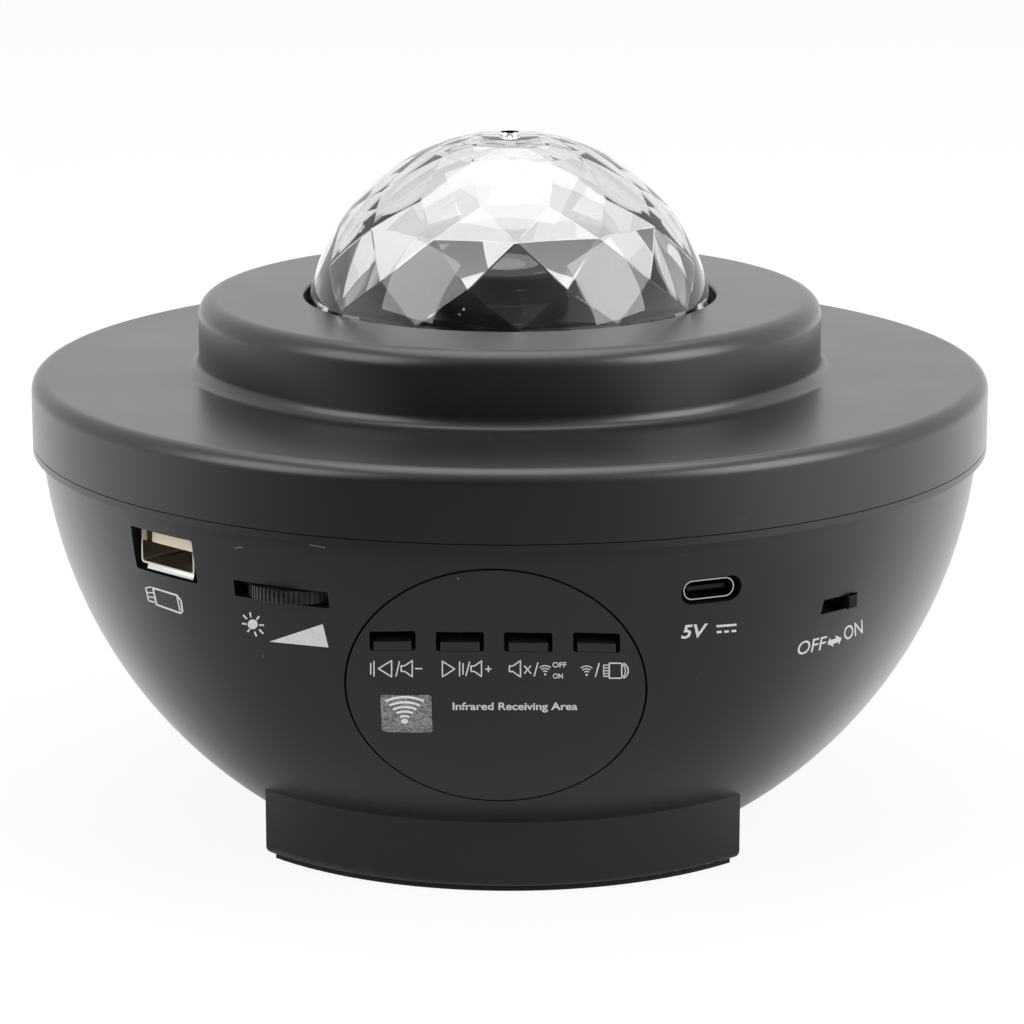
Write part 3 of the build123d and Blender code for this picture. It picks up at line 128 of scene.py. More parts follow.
def smooth(piece, angle):
    pick(piece)
    bpy.ops.object.shade_smooth_by_angle(angle=radians(angle))
    return piece


def finishPiece(piece, name, body, finish):
    piece.name = name
    piece.data.name = name
    piece.data.materials.clear()
    piece.data.materials.append(finish)
    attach(piece, body)
    return piece


class Sock:  # a shader socket that can be written in sums
    def __init__(self, web, out):
        self.web = web
        self.out = out

    def math(self, kind, first, second, clamp=False):
        settings = {"operation": kind, "use_clamp": clamp}
        return self.web.node("ShaderNodeMath", settings, {0: first, 1: second})["Value"]

    def __add__(self, other):
        return self.math("ADD", self, other)

    def __radd__(self, other):
        return self.math("ADD", other, self)

    def __sub__(self, other):
        return self.math("SUBTRACT", self, other)

    def __rsub__(self, other):
        return self.math("SUBTRACT", other, self)

    def __mul__(self, other):
        return self.math("MULTIPLY", self, other)

    def __rmul__(self, other):
        return self.math("MULTIPLY", other, self)

    def __gt__(self, other):
        return self.math("GREATER_THAN", self, other)

    def clamp(self):
        return self.math("ADD", self, 0.0, True)

    def ramp(self, low, high):  # soft step from 0 at low to 1 at high
        inputs = {"Value": self, "From Min": low, "From Max": high}
        return self.web.node("ShaderNodeMapRange", {"interpolation_type": "SMOOTHSTEP"}, inputs)["Result"]


class Web:  # a node tree
    def __init__(self, tree):
        self.tree = tree
        tree.nodes.clear()

    def node(self, kind, settings=None, inputs=None):
        made = self.tree.nodes.new(kind)
        for key, value in (settings or {}).items():
            setattr(made, key, value)
        for key, value in (inputs or {}).items():
            if isinstance(value, Sock):
                self.tree.links.new(value.out, made.inputs[key])
            else:
                made.inputs[key].default_value = value
        # of outputs with one name the first stays
        return {out.name: Sock(self, out) for out in reversed(made.outputs) if out.enabled}

    def place(self):
        return self.node("ShaderNodeTexCoord")["Object"]

    def noise(self, scale, detail=2.0, rough=0.5, stretch=None):
        where = self.place()
        if stretch:
            where = self.node("ShaderNodeMapping", None, {"Vector": where, "Scale": stretch})["Vector"]
        inputs = {"Vector": where, "Scale": scale, "Detail": detail, "Roughness": rough}
        return self.node("ShaderNodeTexNoise", None, inputs)["Fac"]

    def cells(self, scale, spread=1.0):
        inputs = {"Vector": self.place(), "Scale": scale, "Randomness": spread}
        return self.node("ShaderNodeTexVoronoi", None, inputs)["Distance"]

    def mix(self, low, high, factor):
        low, high = (value if isinstance(value, Sock) else (*value, 1.0) for value in (low, high))
        return self.node("ShaderNodeMix", {"data_type": "RGBA"}, {0: factor, 6: low, 7: high})["Result"]

    def bump(self, height, distance):
        return self.node("ShaderNodeBump", None, {"Height": height, "Distance": distance})["Normal"]

    def diffuse(self, colour):
        return self.node("ShaderNodeBsdfDiffuse", None, {"Color": (*colour, 1.0)})["BSDF"]

    def blend(self, factor, first, second):
        return self.node("ShaderNodeMixShader", None, {0: factor, 1: first, 2: second})["Shader"]


def grey(level):
    return (level, level, level)


def shade(colour, share):
    return tuple(value * share for value in colour)


def around(middle, spread, pattern):  # a value that a pattern moves to both sides of its middle
    return middle - spread / 2 + pattern * spread


def marks(web, look):  # noise cut to soft-edged marks, which may stand in patches
    made = web.noise(*look["noise"], stretch=look.get("stretch")).ramp(*look["steps"])
    return made * (web.noise(*look["patch"]) > look["above"]) if "patch" in look else made


def specks(web, look):  # round specks in patches
    made = (look["size"] - web.cells(look["scale"])).ramp(0.0, look["soft"])
    return made * (web.noise(*look["patch"]) > look["above"])


powderTone = 0.7


def makeFinish(name, build):
    material = bpy.data.materials.new(name)
    material.use_nodes = True
    web = Web(material.node_tree)
    inputs = build(web)
    dust = inputs.pop("dust", None)
    shader = web.node("ShaderNodeBsdfPrincipled", None, inputs)["BSDF"]
    if dust:  # powder that lies on the surface
        shader = web.blend(dust, shader, web.diffuse(grey(powderTone)))
    web.node("ShaderNodeOutputMaterial", None, {"Surface": shader})
    return material


# a look's pattern is its scale per metre, then detail and roughness where they matter; its grain is in metres
shellLook = {
    "cloud": (38.0, 3.0), "toneRange": (0.9, 1.12), "roughSpread": 0.08, "specular": 0.5,
    "fine": 2600.0, "pebble": 900.0, "fineShare": 0.4, "grain": 0.000011,
    "specks": {"scale": 150.0, "size": 0.04, "soft": 0.02, "patch": (21.0, 1.0), "above": 0.55},
    "speckTone": 0.14, "speckShow": 0.5, "speckRough": 0.2,
    "scuffs": {"noise": (90.0, 4.0, 0.6), "stretch": (1.0, 1.0, 9.0), "steps": (0.68, 0.74),
               "patch": (17.0, 1.0), "above": 0.57},
    "scuffTone": 0.045, "scuffShow": 0.35,
}


def satinShell(name, tone=0.0095, roughness=0.31):  # fine grain, a little dust and light scuffs
    def build(web):
        look = shellLook
        low, high = look["toneRange"]
        cloud = web.noise(*look["cloud"])
        dusty, scuffed = specks(web, look["specks"]), marks(web, look["scuffs"])
        plain = web.mix(grey(tone * low), grey(tone * high), cloud)
        plain = web.mix(plain, grey(look["speckTone"]), dusty * look["speckShow"])
        fine, pebble = web.noise(look["fine"]), web.noise(look["pebble"])
        grain = fine * look["fineShare"] + pebble * (1 - look["fineShare"])
        return {
            "Base Color": web.mix(plain, grey(look["scuffTone"]), scuffed * look["scuffShow"]),
            "Roughness": around(roughness, look["roughSpread"], cloud) + dusty * look["speckRough"],
            "Normal": web.bump(grain, look["grain"]),
            "Specular IOR Level": look["specular"],
        }
    return makeFinish(name, build)


plasticLook = {"cloud": (120.0, 3.0), "dull": 300.0, "roughSpread": 0.1, "fine": 1800.0}


def mouldedPlastic(name, colour, roughness=0.42, variation=0.07, grain=0.00001, specular=0.45):
    def build(web):
        cloud = web.noise(*plasticLook["cloud"])
        return {
            "Base Color": web.mix(shade(colour, 1 - variation), shade(colour, 1 + variation), cloud),
            "Roughness": around(roughness, plasticLook["roughSpread"], web.noise(plasticLook["dull"])),
            "Normal": web.bump(web.noise(plasticLook["fine"]), grain),
            "Specular IOR Level": specular,
        }
    return makeFinish(name, build)


metalLook = {
    "streak": (420.0, 4.0, 0.6), "stretch": (1.0, 1.0, 12.0), "roughSpread": 0.16, "grain": 0.000006,
    "cloud": (70.0, 3.0), "darkShare": 0.84,
}


def workedMetal(name, colour, roughness=0.3):
    def build(web):
        streak = web.noise(*metalLook["streak"], stretch=metalLook["stretch"])
        cloud = web.noise(*metalLook["cloud"])
        return {
            "Base Color": web.mix(shade(colour, metalLook["darkShare"]), colour, cloud),
            "Metallic": 1.0,
            "Roughness": around(roughness, metalLook["roughSpread"], streak),
            "Normal": web.bump(streak, metalLook["grain"]),
        }
    return makeFinish(name, build)


rubberLook = {
    "cloud": (200.0, 4.0), "lightShare": 1.8, "roughness": 0.8, "roughSpread": 0.16, "dull": 500.0,
    "cells": 1500.0, "grain": 0.00004, "specular": 0.3,
}


def softRubber(name, tone=0.012):
    def build(web):
        look = rubberLook
        return {
            "Base Color": web.mix(grey(tone), grey(tone * look["lightShare"]), web.noise(*look["cloud"])),
            "Roughness": around(look["roughness"], look["roughSpread"], web.noise(look["dull"])),
            "Normal": web.bump(web.cells(look["cells"]), look["grain"]),
            "Specular IOR Level": look["specular"],
        }
    return makeFinish(name, build)


clearLook = {
    "tint": 0.96, "hazeTint": 0.93, "ior": 1.49,
    "haze": {"noise": (26.0, 4.0, 0.6), "steps": (0.5, 0.72)},
    "specks": {"scale": 240.0, "size": 0.06, "soft": 0.02, "patch": (60.0,), "above": 0.55},
    "scratches": {"noise": (170.0, 2.0, 0.5), "stretch": (1.0, 1.0, 14.0), "steps": (0.72, 0.75),
                  "patch": (48.0,), "above": 0.54},
    "veil": {"noise": (40.0, 5.0, 0.65), "steps": (0.45, 0.75)},
    "speckShow": 0.5, "scratchShow": 0.2, "veilShow": 0.012,
}


def clearPlastic(name, roughness=0.0):
    def build(web):
        look = clearLook
        scratched = marks(web, look["scratches"]) * look["scratchShow"]
        dusty = specks(web, look["specks"]) * look["speckShow"]
        return {
            "Base Color": web.mix(grey(look["tint"]), grey(look["hazeTint"]), marks(web, look["haze"])),
            "Roughness": roughness,
            "Transmission Weight": 1.0,
            "IOR": look["ior"],
            "dust": dusty + scratched + marks(web, look["veil"]) * look["veilShow"],
        }
    return makeFinish(name, build)


boardLook = {
    "cells": 330.0, "disorder": 0.15, "edge": (0.36, 0.41), "darkShare": 0.55,
    "roughness": 0.41, "roughSpread": 0.12, "grain": 0.00003,
}


def circuitBoard(name, colour):
    def build(web):
        look = boardLook
        tracks = web.cells(look["cells"], look["disorder"]).ramp(*look["edge"])
        return {
            "Base Color": web.mix(shade(colour, look["darkShare"]), colour, tracks),
            "Roughness": around(look["roughness"], look["roughSpread"], tracks),
            "Normal": web.bump(tracks, look["grain"]),
        }
    return makeFinish(name, build)


chipLook = {
    "edge": {"noise": (500.0,), "steps": (0.35, 0.55)}, "dark": (0.85, 0.72, 0.12), "light": (0.92, 0.85, 0.4),
    "roughness": 0.45, "roughSpread": 0.1,
}


def phosphorChip(name):
    def build(web):
        edge = marks(web, chipLook["edge"])
        return {
            "Base Color": web.mix(chipLook["dark"], chipLook["light"], edge),
            "Roughness": around(chipLook["roughness"], chipLook["roughSpread"], edge),
        }
    return makeFinish(name, build)


printLook = {
    "wear": (1500.0, 3.0), "toneRange": (0.8, 1.12), "roughness": 0.56, "roughSpread": 0.12, "grain": 0.000004,
    "specular": 0.3,
}


def padPrint(name, tone=0.5):
    def build(web):
        low, high = printLook["toneRange"]
        wear = web.noise(*printLook["wear"])
        return {
            "Base Color": web.mix(grey(tone * low), grey(tone * high), wear),
            "Roughness": around(printLook["roughness"], printLook["roughSpread"], wear),
            "Normal": web.bump(wear, printLook["grain"]),
            "Specular IOR Level": printLook["specular"],
        }
    return makeFinish(name, build)


windowLook = {
    "weave": 2600.0, "swirl": (900.0, 5.0, 0.7), "weaveShare": 0.5, "edge": (0.36, 0.62),
    "dark": 0.06, "light": 0.24,
    "roughness": 0.51, "roughSpread": 0.12, "grain": 0.00002, "specular": 0.4,
}


def speckledWindow(name):
    def build(web):
        look = windowLook
        weave, swirl = web.noise(look["weave"]), web.noise(*look["swirl"])
        tone = (weave * look["weaveShare"] + swirl * (1 - look["weaveShare"])).ramp(*look["edge"])
        return {
            "Base Color": web.mix(grey(look["dark"]), grey(look["light"]), tone),
            "Roughness": around(look["roughness"], look["roughSpread"], weave),
            "Normal": web.bump(weave, look["grain"]),
            "Specular IOR Level": look["specular"],
        }
    return makeFinish(name, build)


wheelLook = {
    "dirt": (260.0, 4.0), "edge": (0.45, 0.75), "clean": grey(0.01), "soiled": (0.04, 0.033, 0.026),
    "roughness": 0.44, "roughSpread": 0.12, "fine": 1800.0, "grain": 0.00001,
}


def handledWheel(name):
    def build(web):
        look = wheelLook
        dirt = web.noise(*look["dirt"])
        return {
            "Base Color": web.mix(look["clean"], look["soiled"], dirt.ramp(*look["edge"])),
            "Roughness": around(look["roughness"], look["roughSpread"], dirt),
            "Normal": web.bump(web.noise(look["fine"]), look["grain"]),
        }
    return makeFinish(name, build)


finishes = {  # by the record's material slots
    "housing": satinShell("satin black shell"),
    "panel_black": satinShell("satin black panel", 0.0105, 0.33),
    "foot_rubber": softRubber("foot rubber"),
    "screw_steel": workedMetal("screw steel", (0.33, 0.33, 0.34), 0.36),
    "clear_dome": clearPlastic("clear dome"),
    "white_gear": mouldedPlastic("white gear", (0.72, 0.72, 0.69)),
    "inner_black": mouldedPlastic("lamp black", grey(0.004), variation=0.15, grain=0.000006, specular=0.07),
    "motor_steel": workedMetal("motor steel", grey(0.55), 0.33),
    "sink_aluminium": workedMetal("sink aluminium", (0.62, 0.62, 0.63), 0.42),
    "white_board": circuitBoard("white board", (0.72, 0.73, 0.7)),
    "led_yellow": phosphorChip("led phosphor"),
    "clear_lens": clearPlastic("clear lens"),
    "laser_brass": workedMetal("blackened barrel", (0.02, 0.017, 0.013), 0.45),
    "grating_film": clearPlastic("grating film", 0.1),
    "green_board": circuitBoard("green board", (0.02, 0.16, 0.06)),
    "pot_black": mouldedPlastic("dial seat", grey(0.015)),
    "wheel_black": handledWheel("handled wheel"),
    "connector_metal": workedMetal("socket shell", (0.56, 0.54, 0.51), 0.22),
    "tongue_beige": mouldedPlastic("socket tongue", (0.62, 0.53, 0.4), 0.4, variation=0.1),
    "tongue_black": mouldedPlastic("small socket tongue", grey(0.006), 0.35, specular=0.2),
    "switch_metal": workedMetal("switch can", grey(0.5), 0.35),
    "lever_black": mouldedPlastic("switch lever", grey(0.004), 0.5, specular=0.12),
    "shield_metal": workedMetal("module can", grey(0.6)),
    "chip_black": mouldedPlastic("moulded chips", grey(0.014), 0.5),
    "capacitor_sleeve": mouldedPlastic("capacitor sleeve", (0.02, 0.02, 0.045), 0.3),
    "header_white": mouldedPlastic("header white", (0.75, 0.74, 0.68)),
    "window_grey": speckledWindow("sensor window"),
    "tact_black": mouldedPlastic("key switch plunger", grey(0.02)),
    "receiver_black": mouldedPlastic("receiver epoxy", (0.012, 0.006, 0.012), 0.15),
    "magnet_ferrite": mouldedPlastic("magnet ferrite", grey(0.05), 0.55),
    "cone_paper": mouldedPlastic("speaker paper", grey(0.03), 0.8, variation=0.2, grain=0.00005),
    "surround_rubber": softRubber("surround rubber", 0.015),
}
# a lighter copy of the socket shell's steel for the socket lip: a painted highlight where the lip catches
# light
lipPaintedHighlightMetal = workedMetal("socket lip painted highlight", (0.72, 0.7, 0.66), 0.4)
legendPrint = padPrint("legend print")
arcPrint = padPrint("sensor arcs print", 0.62)
scratchMark = padPrint("scratch mark", 0.17)

nodeSlot = {part["node"]: part["material_slot"] for part in frame["record"]["subparts"]}
for nodeName, node in cadNodes.items():
    node.data.materials.clear()
    node.data.materials.append(finishes[nodeSlot[nodeName]])
print("finishes on", len(cadNodes), "carried-over parts")


view = {
    "distance": 700.0, "elevation": 13.08, "azimuth": 1.8, "lookZ": 60.0,
    "size": 1024, "focal": 3937.9, "centreX": 509.8, "centreY": 466.8,  # frame's width, lens in its units
    "sensor": 36.0, "near": 0.01, "far": 50.0,
}


def aim(thing, target):
    thing.rotation_euler = (Vector(target) - thing.location).to_track_quat("-Z", "Y").to_euler()


def makeCamera():
    level = view["distance"] * cos(radians(view["elevation"]))
    turn = radians(view["azimuth"])
    height = view["lookZ"] + view["distance"] * sin(radians(view["elevation"]))
    bpy.ops.object.camera_add(location=Vector((level * sin(turn), -level * cos(turn), height)) * mm)
    made = bpy.context.object
    aim(made, (0, 0, view["lookZ"] * mm))
    made.data.sensor_width = view["sensor"]
    made.data.lens = view["focal"] / view["size"] * view["sensor"]
    made.data.shift_x = (view["size"] / 2 - view["centreX"]) / view["size"]
    made.data.shift_y = (view["centreY"] - view["size"] / 2) / view["size"]
    made.data.clip_start = view["near"]
    made.data.clip_end = view["far"]
    scene.camera = made
    bpy.context.view_layer.update()
    return made


camera = makeCamera()

studio = {
    "floorSize": 8.0, "floorTone": 0.92,
    "floorGlow": 0.9,  # share of the floor that stays white for the camera
    "soft": 0.42,  # plain light from all round
    "skyShare": 0.8,  # how much of the sky shows in shiny and clear parts
    # what shiny and clear parts see round them, dark in front and white behind
    "air": {"front": 0.08, "behind": 1.45, "darkTo": -0.97, "whiteFrom": -0.15, "rightGain": 0.3},
    "farFloor": {"front": 0.08, "behind": 1.5, "darkTo": -0.97, "whiteFrom": -0.2, "rightGain": 0.3},
    "nearFloor": {"front": 0.38, "behind": 1.6, "darkTo": -0.85, "whiteFrom": 0.5, "rightGain": 0.08},
    "nearReach": (0.2, 0.34), "sideShare": 0.5,
    "lampAim": (0, 0, 0.07),
    "lamps": {
        "topSoftbox": {"energy": 10.0, "size": 1.1, "place": (0.0, 0.25, 1.35)},
        "leftSoftbox": {"energy": 9.5, "size": 0.85, "place": (-1.0, -0.58, 0.79)},
        "rightSoftbox": {"energy": 13.0, "size": 0.85, "place": (1.1, -0.43, 0.75)},
    },
}


def surroundTone(web, direction, tone):
    level = web.node("ShaderNodeVectorMath", {"operation": "NORMALIZE"}, {0: direction})["Vector"]
    split = web.node("ShaderNodeSeparateXYZ", None, {0: level})
    side = split["X"] * tone["rightGain"] * studio["sideShare"]
    swell = (split["Y"] + side).ramp(tone["darkTo"], tone["whiteFrom"])
    return tone["front"] + swell * (tone["behind"] - tone["front"]) + side


def makeFloor():
    bpy.ops.mesh.primitive_plane_add(size=studio["floorSize"])
    floor = bpy.context.object
    floor.name = "studioFloor"
    material = bpy.data.materials.new("studio floor")
    material.use_nodes = True
    web = Web(material.node_tree)
    rays = web.node("ShaderNodeLightPath")
    seen, shiny, clear = rays["Is Camera Ray"], rays["Is Glossy Ray"], rays["Is Transmission Ray"]
    distance = web.node("ShaderNodeVectorMath", {"operation": "LENGTH"}, {0: web.place()})["Value"]
    far = distance.ramp(*studio["nearReach"])
    near = surroundTone(web, web.place(), studio["nearFloor"]) * (1.0 - far)
    shine = near + surroundTone(web, web.place(), studio["farFloor"]) * far
    strength = seen + clear * shine.clamp() + shiny * (1.0 - clear) * shine
    glow = web.node("ShaderNodeEmission", None, {"Strength": strength})["Emission"]
    shown = (seen + shiny + clear).clamp() * studio["floorGlow"]
    both = web.blend(shown, web.diffuse(grey(studio["floorTone"])), glow)
    web.node("ShaderNodeOutputMaterial", None, {"Surface": both})
    floor.data.materials.append(material)


def makeSky():
    world = bpy.data.worlds.new("studio")
    scene.world = world
    world.use_nodes = True
    web = Web(world.node_tree)
    rays = web.node("ShaderNodeLightPath")
    seen, clear = rays["Is Camera Ray"], rays["Is Transmission Ray"]
    shiny = rays["Is Glossy Ray"] * (1.0 - clear)
    plain = 1.0 - (seen + clear + shiny).clamp()
    shine = surroundTone(web, web.node("ShaderNodeTexCoord")["Generated"], studio["air"])
    mirrored = (clear * shine.clamp() + shiny * shine) * studio["skyShare"]
    inputs = {"Color": (*grey(1.0), 1.0), "Strength": seen + mirrored + plain * studio["soft"]}
    sky = web.node("ShaderNodeBackground", None, inputs)["Background"]
    web.node("ShaderNodeOutputWorld", None, {"Surface": sky})


def makeLamps():
    for name, lamp in studio["lamps"].items():
        bpy.ops.object.light_add(type="AREA", location=lamp["place"])
        light = bpy.context.object
        light.name = name
        light.data.shape = "SQUARE"
        light.data.size = lamp["size"]
        light.data.energy = lamp["energy"]
        aim(light, studio["lampAim"])


makeFloor()
makeSky()
makeLamps()
scene.view_settings.view_transform = "Standard"
print("camera and studio ready")

# the dome is smooth outside and has flat facets inside, between rings of corners that stand staggered
dome = {
    "radius": 36.0, "centreZ": 84.0, "segments": 180, "rings": 120, "holeRadius": 1.65, "middleZ": 100.0,
    "baseZ": 80.0, "flangeRadius": 38.6, "flangeThickness": 1.6,
    "facets": 12, "turn": 4.1, "baseReach": 33.4, "edgeWidth": 0.14, "sharpFrom": 3.0, "smoothTo": 2.4,
    "corners": (  # elevation, distance from the ball's centre, staggered
        (1.0, 34.3, True), (12.0, 34.3, False), (23.0, 34.46, True), (37.3, 34.22, False),
        (49.5, 33.3, True), (67.0, 34.0, False), (75.5, 34.3, True), (81.0, 34.3, False)),
    "flatRings": (2,),  # rings whose own edges lie inside a flat facet
}


def cutLevel(z, **dropped):  # cuts everything level at a height and drops one side
    bpy.ops.mesh.select_all(action="SELECT")
    bpy.ops.mesh.bisect(plane_co=(0, 0, z * mm), plane_no=(0, 0, 1), threshold=touch / 10, **dropped)


def ringPlace(elevation, distance):  # radius and height of a ring of facet corners
    return distance * cos(radians(elevation)), dome["centreZ"] + distance * sin(radians(elevation))


def makeDomeOutside():
    holeZ = dome["centreZ"] + sqrt(dome["radius"] ** 2 - dome["holeRadius"] ** 2)
    flangeZ = dome["baseZ"] + dome["flangeThickness"]
    bpy.ops.mesh.primitive_uv_sphere_add(segments=dome["segments"], ring_count=dome["rings"],
                                         radius=dome["radius"] * mm, location=(0, 0, dome["centreZ"] * mm))
    outside = settle(bpy.context.object)
    edit(outside)
    cutLevel(holeZ, clear_outer=True)
    cutLevel(flangeZ, clear_inner=True)
    choose(outside, lambda co: abs(co.z - flangeZ * mm) < touch)
    drawOut(0, dome["flangeRadius"] / sqrt(dome["radius"] ** 2 - (flangeZ - dome["centreZ"]) ** 2))
    drawOut(-dome["flangeThickness"], 1)
    choose(outside, lambda co: abs(co.z - holeZ * mm) < touch)
    elevation, distance, staggered = dome["corners"][-1]
    drawOut(ringPlace(elevation, distance)[1] - holeZ, 1)  # wall of the hole
    return done(outside)


def makeDomeInside():
    halfFacet = 180 / dome["facets"]
    reach, z, turned = dome["baseReach"], dome["baseZ"], True
    bpy.ops.mesh.primitive_circle_add(vertices=dome["facets"], radius=reach * mm, location=(0, 0, z * mm),
                                      rotation=(0, 0, radians(dome["turn"] + halfFacet - 90)))
    inside = settle(bpy.context.object)
    mesh = inside.data
    editAll(inside, "EDGE")
    for elevation, distance, staggered in dome["corners"]:
        newReach, newZ = ringPlace(elevation, distance)
        drawOut(newZ - z, newReach / reach)
        if staggered != turned:
            bpy.ops.transform.rotate(value=radians(halfFacet), orient_axis="Z", center_override=origin)
        reach, z, turned = newReach, newZ, staggered
    bpy.ops.mesh.select_all(action="SELECT")
    bpy.ops.mesh.quads_convert_to_tris(quad_method="SHORTEST_DIAGONAL")
    bpy.ops.mesh.select_all(action="DESELECT")
    done(inside)
    flatZ = [ringPlace(*dome["corners"][k][:2])[1] * mm for k in dome["flatRings"]]
    for edge in mesh.edges:
        heights = [mesh.vertices[k].co.z for k in edge.vertices]
        edge.select = any(all(abs(height - level) < touch for height in heights) for level in flatZ)
    bpy.ops.object.mode_set(mode="EDIT")
    bpy.ops.mesh.dissolve_edges(use_verts=False)
    bpy.ops.mesh.select_all(action="DESELECT")
    bpy.ops.mesh.edges_select_sharp(sharpness=radians(dome["sharpFrom"]))
    bpy.ops.mesh.bevel(offset=dome["edgeWidth"] * mm, segments=1, affect="EDGES")  # softens the facets' edges
    return done(inside)


def makeDome():
    whole = join([makeDomeOutside(), makeDomeInside()])
    mesh = whole.data
    for above in (False, True):  # closes the base, then the ledge round the hole
        edit(whole, "EDGE")
        bpy.ops.mesh.select_non_manifold(extend=False, use_wire=False, use_boundary=True, use_multi_face=False,
                                         use_non_contiguous=False, use_verts=False)
        done(whole)
        for edge in mesh.edges:
            isAbove = mesh.vertices[edge.vertices[0]].co.z > dome["middleZ"] * mm
            edge.select = edge.select and isAbove == above
        picked = {k for edge in mesh.edges if edge.select for k in edge.vertices}
        for vertex in mesh.vertices:
            vertex.select = vertex.index in picked
        bpy.ops.object.mode_set(mode="EDIT")
        bpy.ops.mesh.fill(use_beauty=True)
    bpy.ops.mesh.select_all(action="SELECT")
    bpy.ops.mesh.normals_make_consistent(inside=False)
    bpy.ops.mesh.select_all(action="DESELECT")
    bpy.ops.mesh.select_non_manifold()
    done(whole)
    print("open edges on the dome:", sum(edge.select for edge in mesh.edges))
    return smooth(whole, dome["smoothTo"])


domePiece = finishPiece(makeDome(), "facetedDome", "dome_turntable", finishes["clear_dome"])
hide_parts("dome")
print("dome made")

lid = {
    "segments": 256, "roundSteps": 8, "smoothTo": 32,
    # from the seam up over rim, collar and opening and back along the inside, as radius, height and rounding
    "section": (
        (84.0, 67.0, 0), (84.0, 78.7, 2.6), (54.7, 78.7, 2.3), (54.7, 91.6, 3.3), (36.2, 91.6, 0.5),
        (36.2, 88.4, 0), (38.0, 88.4, 0), (38.0, 89.2, 0), (52.3, 89.2, 2.1), (52.3, 76.3, 0),
        (81.6, 76.3, 1.4), (81.6, 69.0, 0), (78.04, 69.0, 0), (78.04, 63.5, 0), (79.54, 63.5, 0),
        (79.54, 67.0, 0)),
    "postSection": ((3.5, 70.6, 0), (3.5, 76.6, 0), (1.1, 76.6, 0), (1.1, 70.6, 0)),
    "postCircle": 60.0, "posts": 4, "postSegments": 32,
    # the skirt's cut-out for the key panel: its lean, its radius and its ends from the ball's centre
    "panelTilt": 23.8, "panelRoom": 26.9, "panelFrom": 42.8, "panelTo": 85.6, "panelSegments": 96,
}


def onRing(where, reach, z):  # a test for the points of one ring
    def test(co):
        gap = hypot(co.x - where[0], co.y - where[1]) - reach * mm
        return abs(gap) < 2 * touch and abs(co.z - z * mm) < 2 * touch
    return test


def lathe(section, segments, x=0.0, y=0.0, roundSteps=1):  # closed ring turned from a section
    where = (x * mm, y * mm, 0)
    reach, z = section[0][:2]
    bpy.ops.mesh.primitive_circle_add(vertices=segments, radius=reach * mm, location=(x * mm, y * mm, z * mm))
    ring = settle(bpy.context.object)
    editAll(ring, "EDGE")
    for newReach, newZ, rounding in section[1:] + section[:1]:
        drawOut(newZ - z, newReach / reach, where)
        reach, z = newReach, newZ
    mend()
    bpy.ops.mesh.select_mode(type="VERT")
    for cornerReach, cornerZ, rounding in section:
        if rounding:
            choose(ring, onRing(where, cornerReach, cornerZ))
            bpy.ops.mesh.bevel(offset=rounding * mm, segments=roundSteps, profile=0.5, affect="EDGES")
    return done(ring)


def makePanelCutter():  # a thick disc that stands square on the ball where the key panel sits
    tilt = radians(lid["panelTilt"])
    out = Vector((0, -cos(tilt), -sin(tilt)))
    middle = Vector((0, 0, bowl["centreZ"])) + out * (lid["panelFrom"] + lid["panelTo"]) / 2
    depth = lid["panelTo"] - lid["panelFrom"]
    bpy.ops.mesh.primitive_cylinder_add(
        vertices=lid["panelSegments"], radius=lid["panelRoom"] * mm, depth=depth * mm,
        location=middle * mm, rotation=out.to_track_quat("Z", "Y").to_euler())
    return settle(bpy.context.object)


def makeLid():
    shell = lathe(lid["section"], lid["segments"], roundSteps=lid["roundSteps"])
    cutAway(shell, makePanelCutter())
    posts = []
    for k in range(lid["posts"]):
        turn = 2 * pi * (k + 0.5) / lid["posts"]
        place = (lid["postCircle"] * cos(turn), lid["postCircle"] * sin(turn))
        posts.append(lathe(lid["postSection"], lid["postSegments"], *place))
    shell = smooth(join([shell] + posts), lid["smoothTo"])
    even = shell.modifiers.new("even shading", "WEIGHTED_NORMAL")
    even.keep_sharp = True
    bpy.ops.object.modifier_apply(modifier=even.name)
    return shell


lidPiece = finishPiece(makeLid(), "steppedLid", "base", finishes["housing"])
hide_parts("top_cover")
print("lid made:", len(lidPiece.data.polygons), "faces")

# a dark ring round the laser barrel keeps stray light off the facets
baffle = {
    "segments": 96, "roundSteps": 3, "smoothTo": 30,
    # radius, height over the lamp cover and rounding
    "section": ((7.5, 0.0, 0), (10.5, 0.0, 0), (10.5, 1.2, 0.5), (8.3, 6.4, 0.4), (7.5, 6.4, 0)),
}


def makeBaffle():
    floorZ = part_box("lamp_cover")[1][2] / mm
    section = tuple((reach, floorZ + height, rounding) for reach, height, rounding in baffle["section"])
    return smooth(lathe(section, baffle["segments"], roundSteps=baffle["roundSteps"]), baffle["smoothTo"])


finishPiece(makeBaffle(), "laserBaffle", "base", finishes["inner_black"])
print("baffle made")

# the flared lower lip of the wide socket's mouth, in a lighter steel than the socket shell: a painted
# highlight along the lip
socketLip = {
    "azimuth": -42.4, "mouthRadius": 80.3, "mouthHeight": 6.1, "width": 11.4, "shift": 0.8,
    "reach": 0.95, "fall": 74.0, "thickness": 0.3, "corner": 0.1, "cornerSteps": 2, "smoothTo": 40,
}


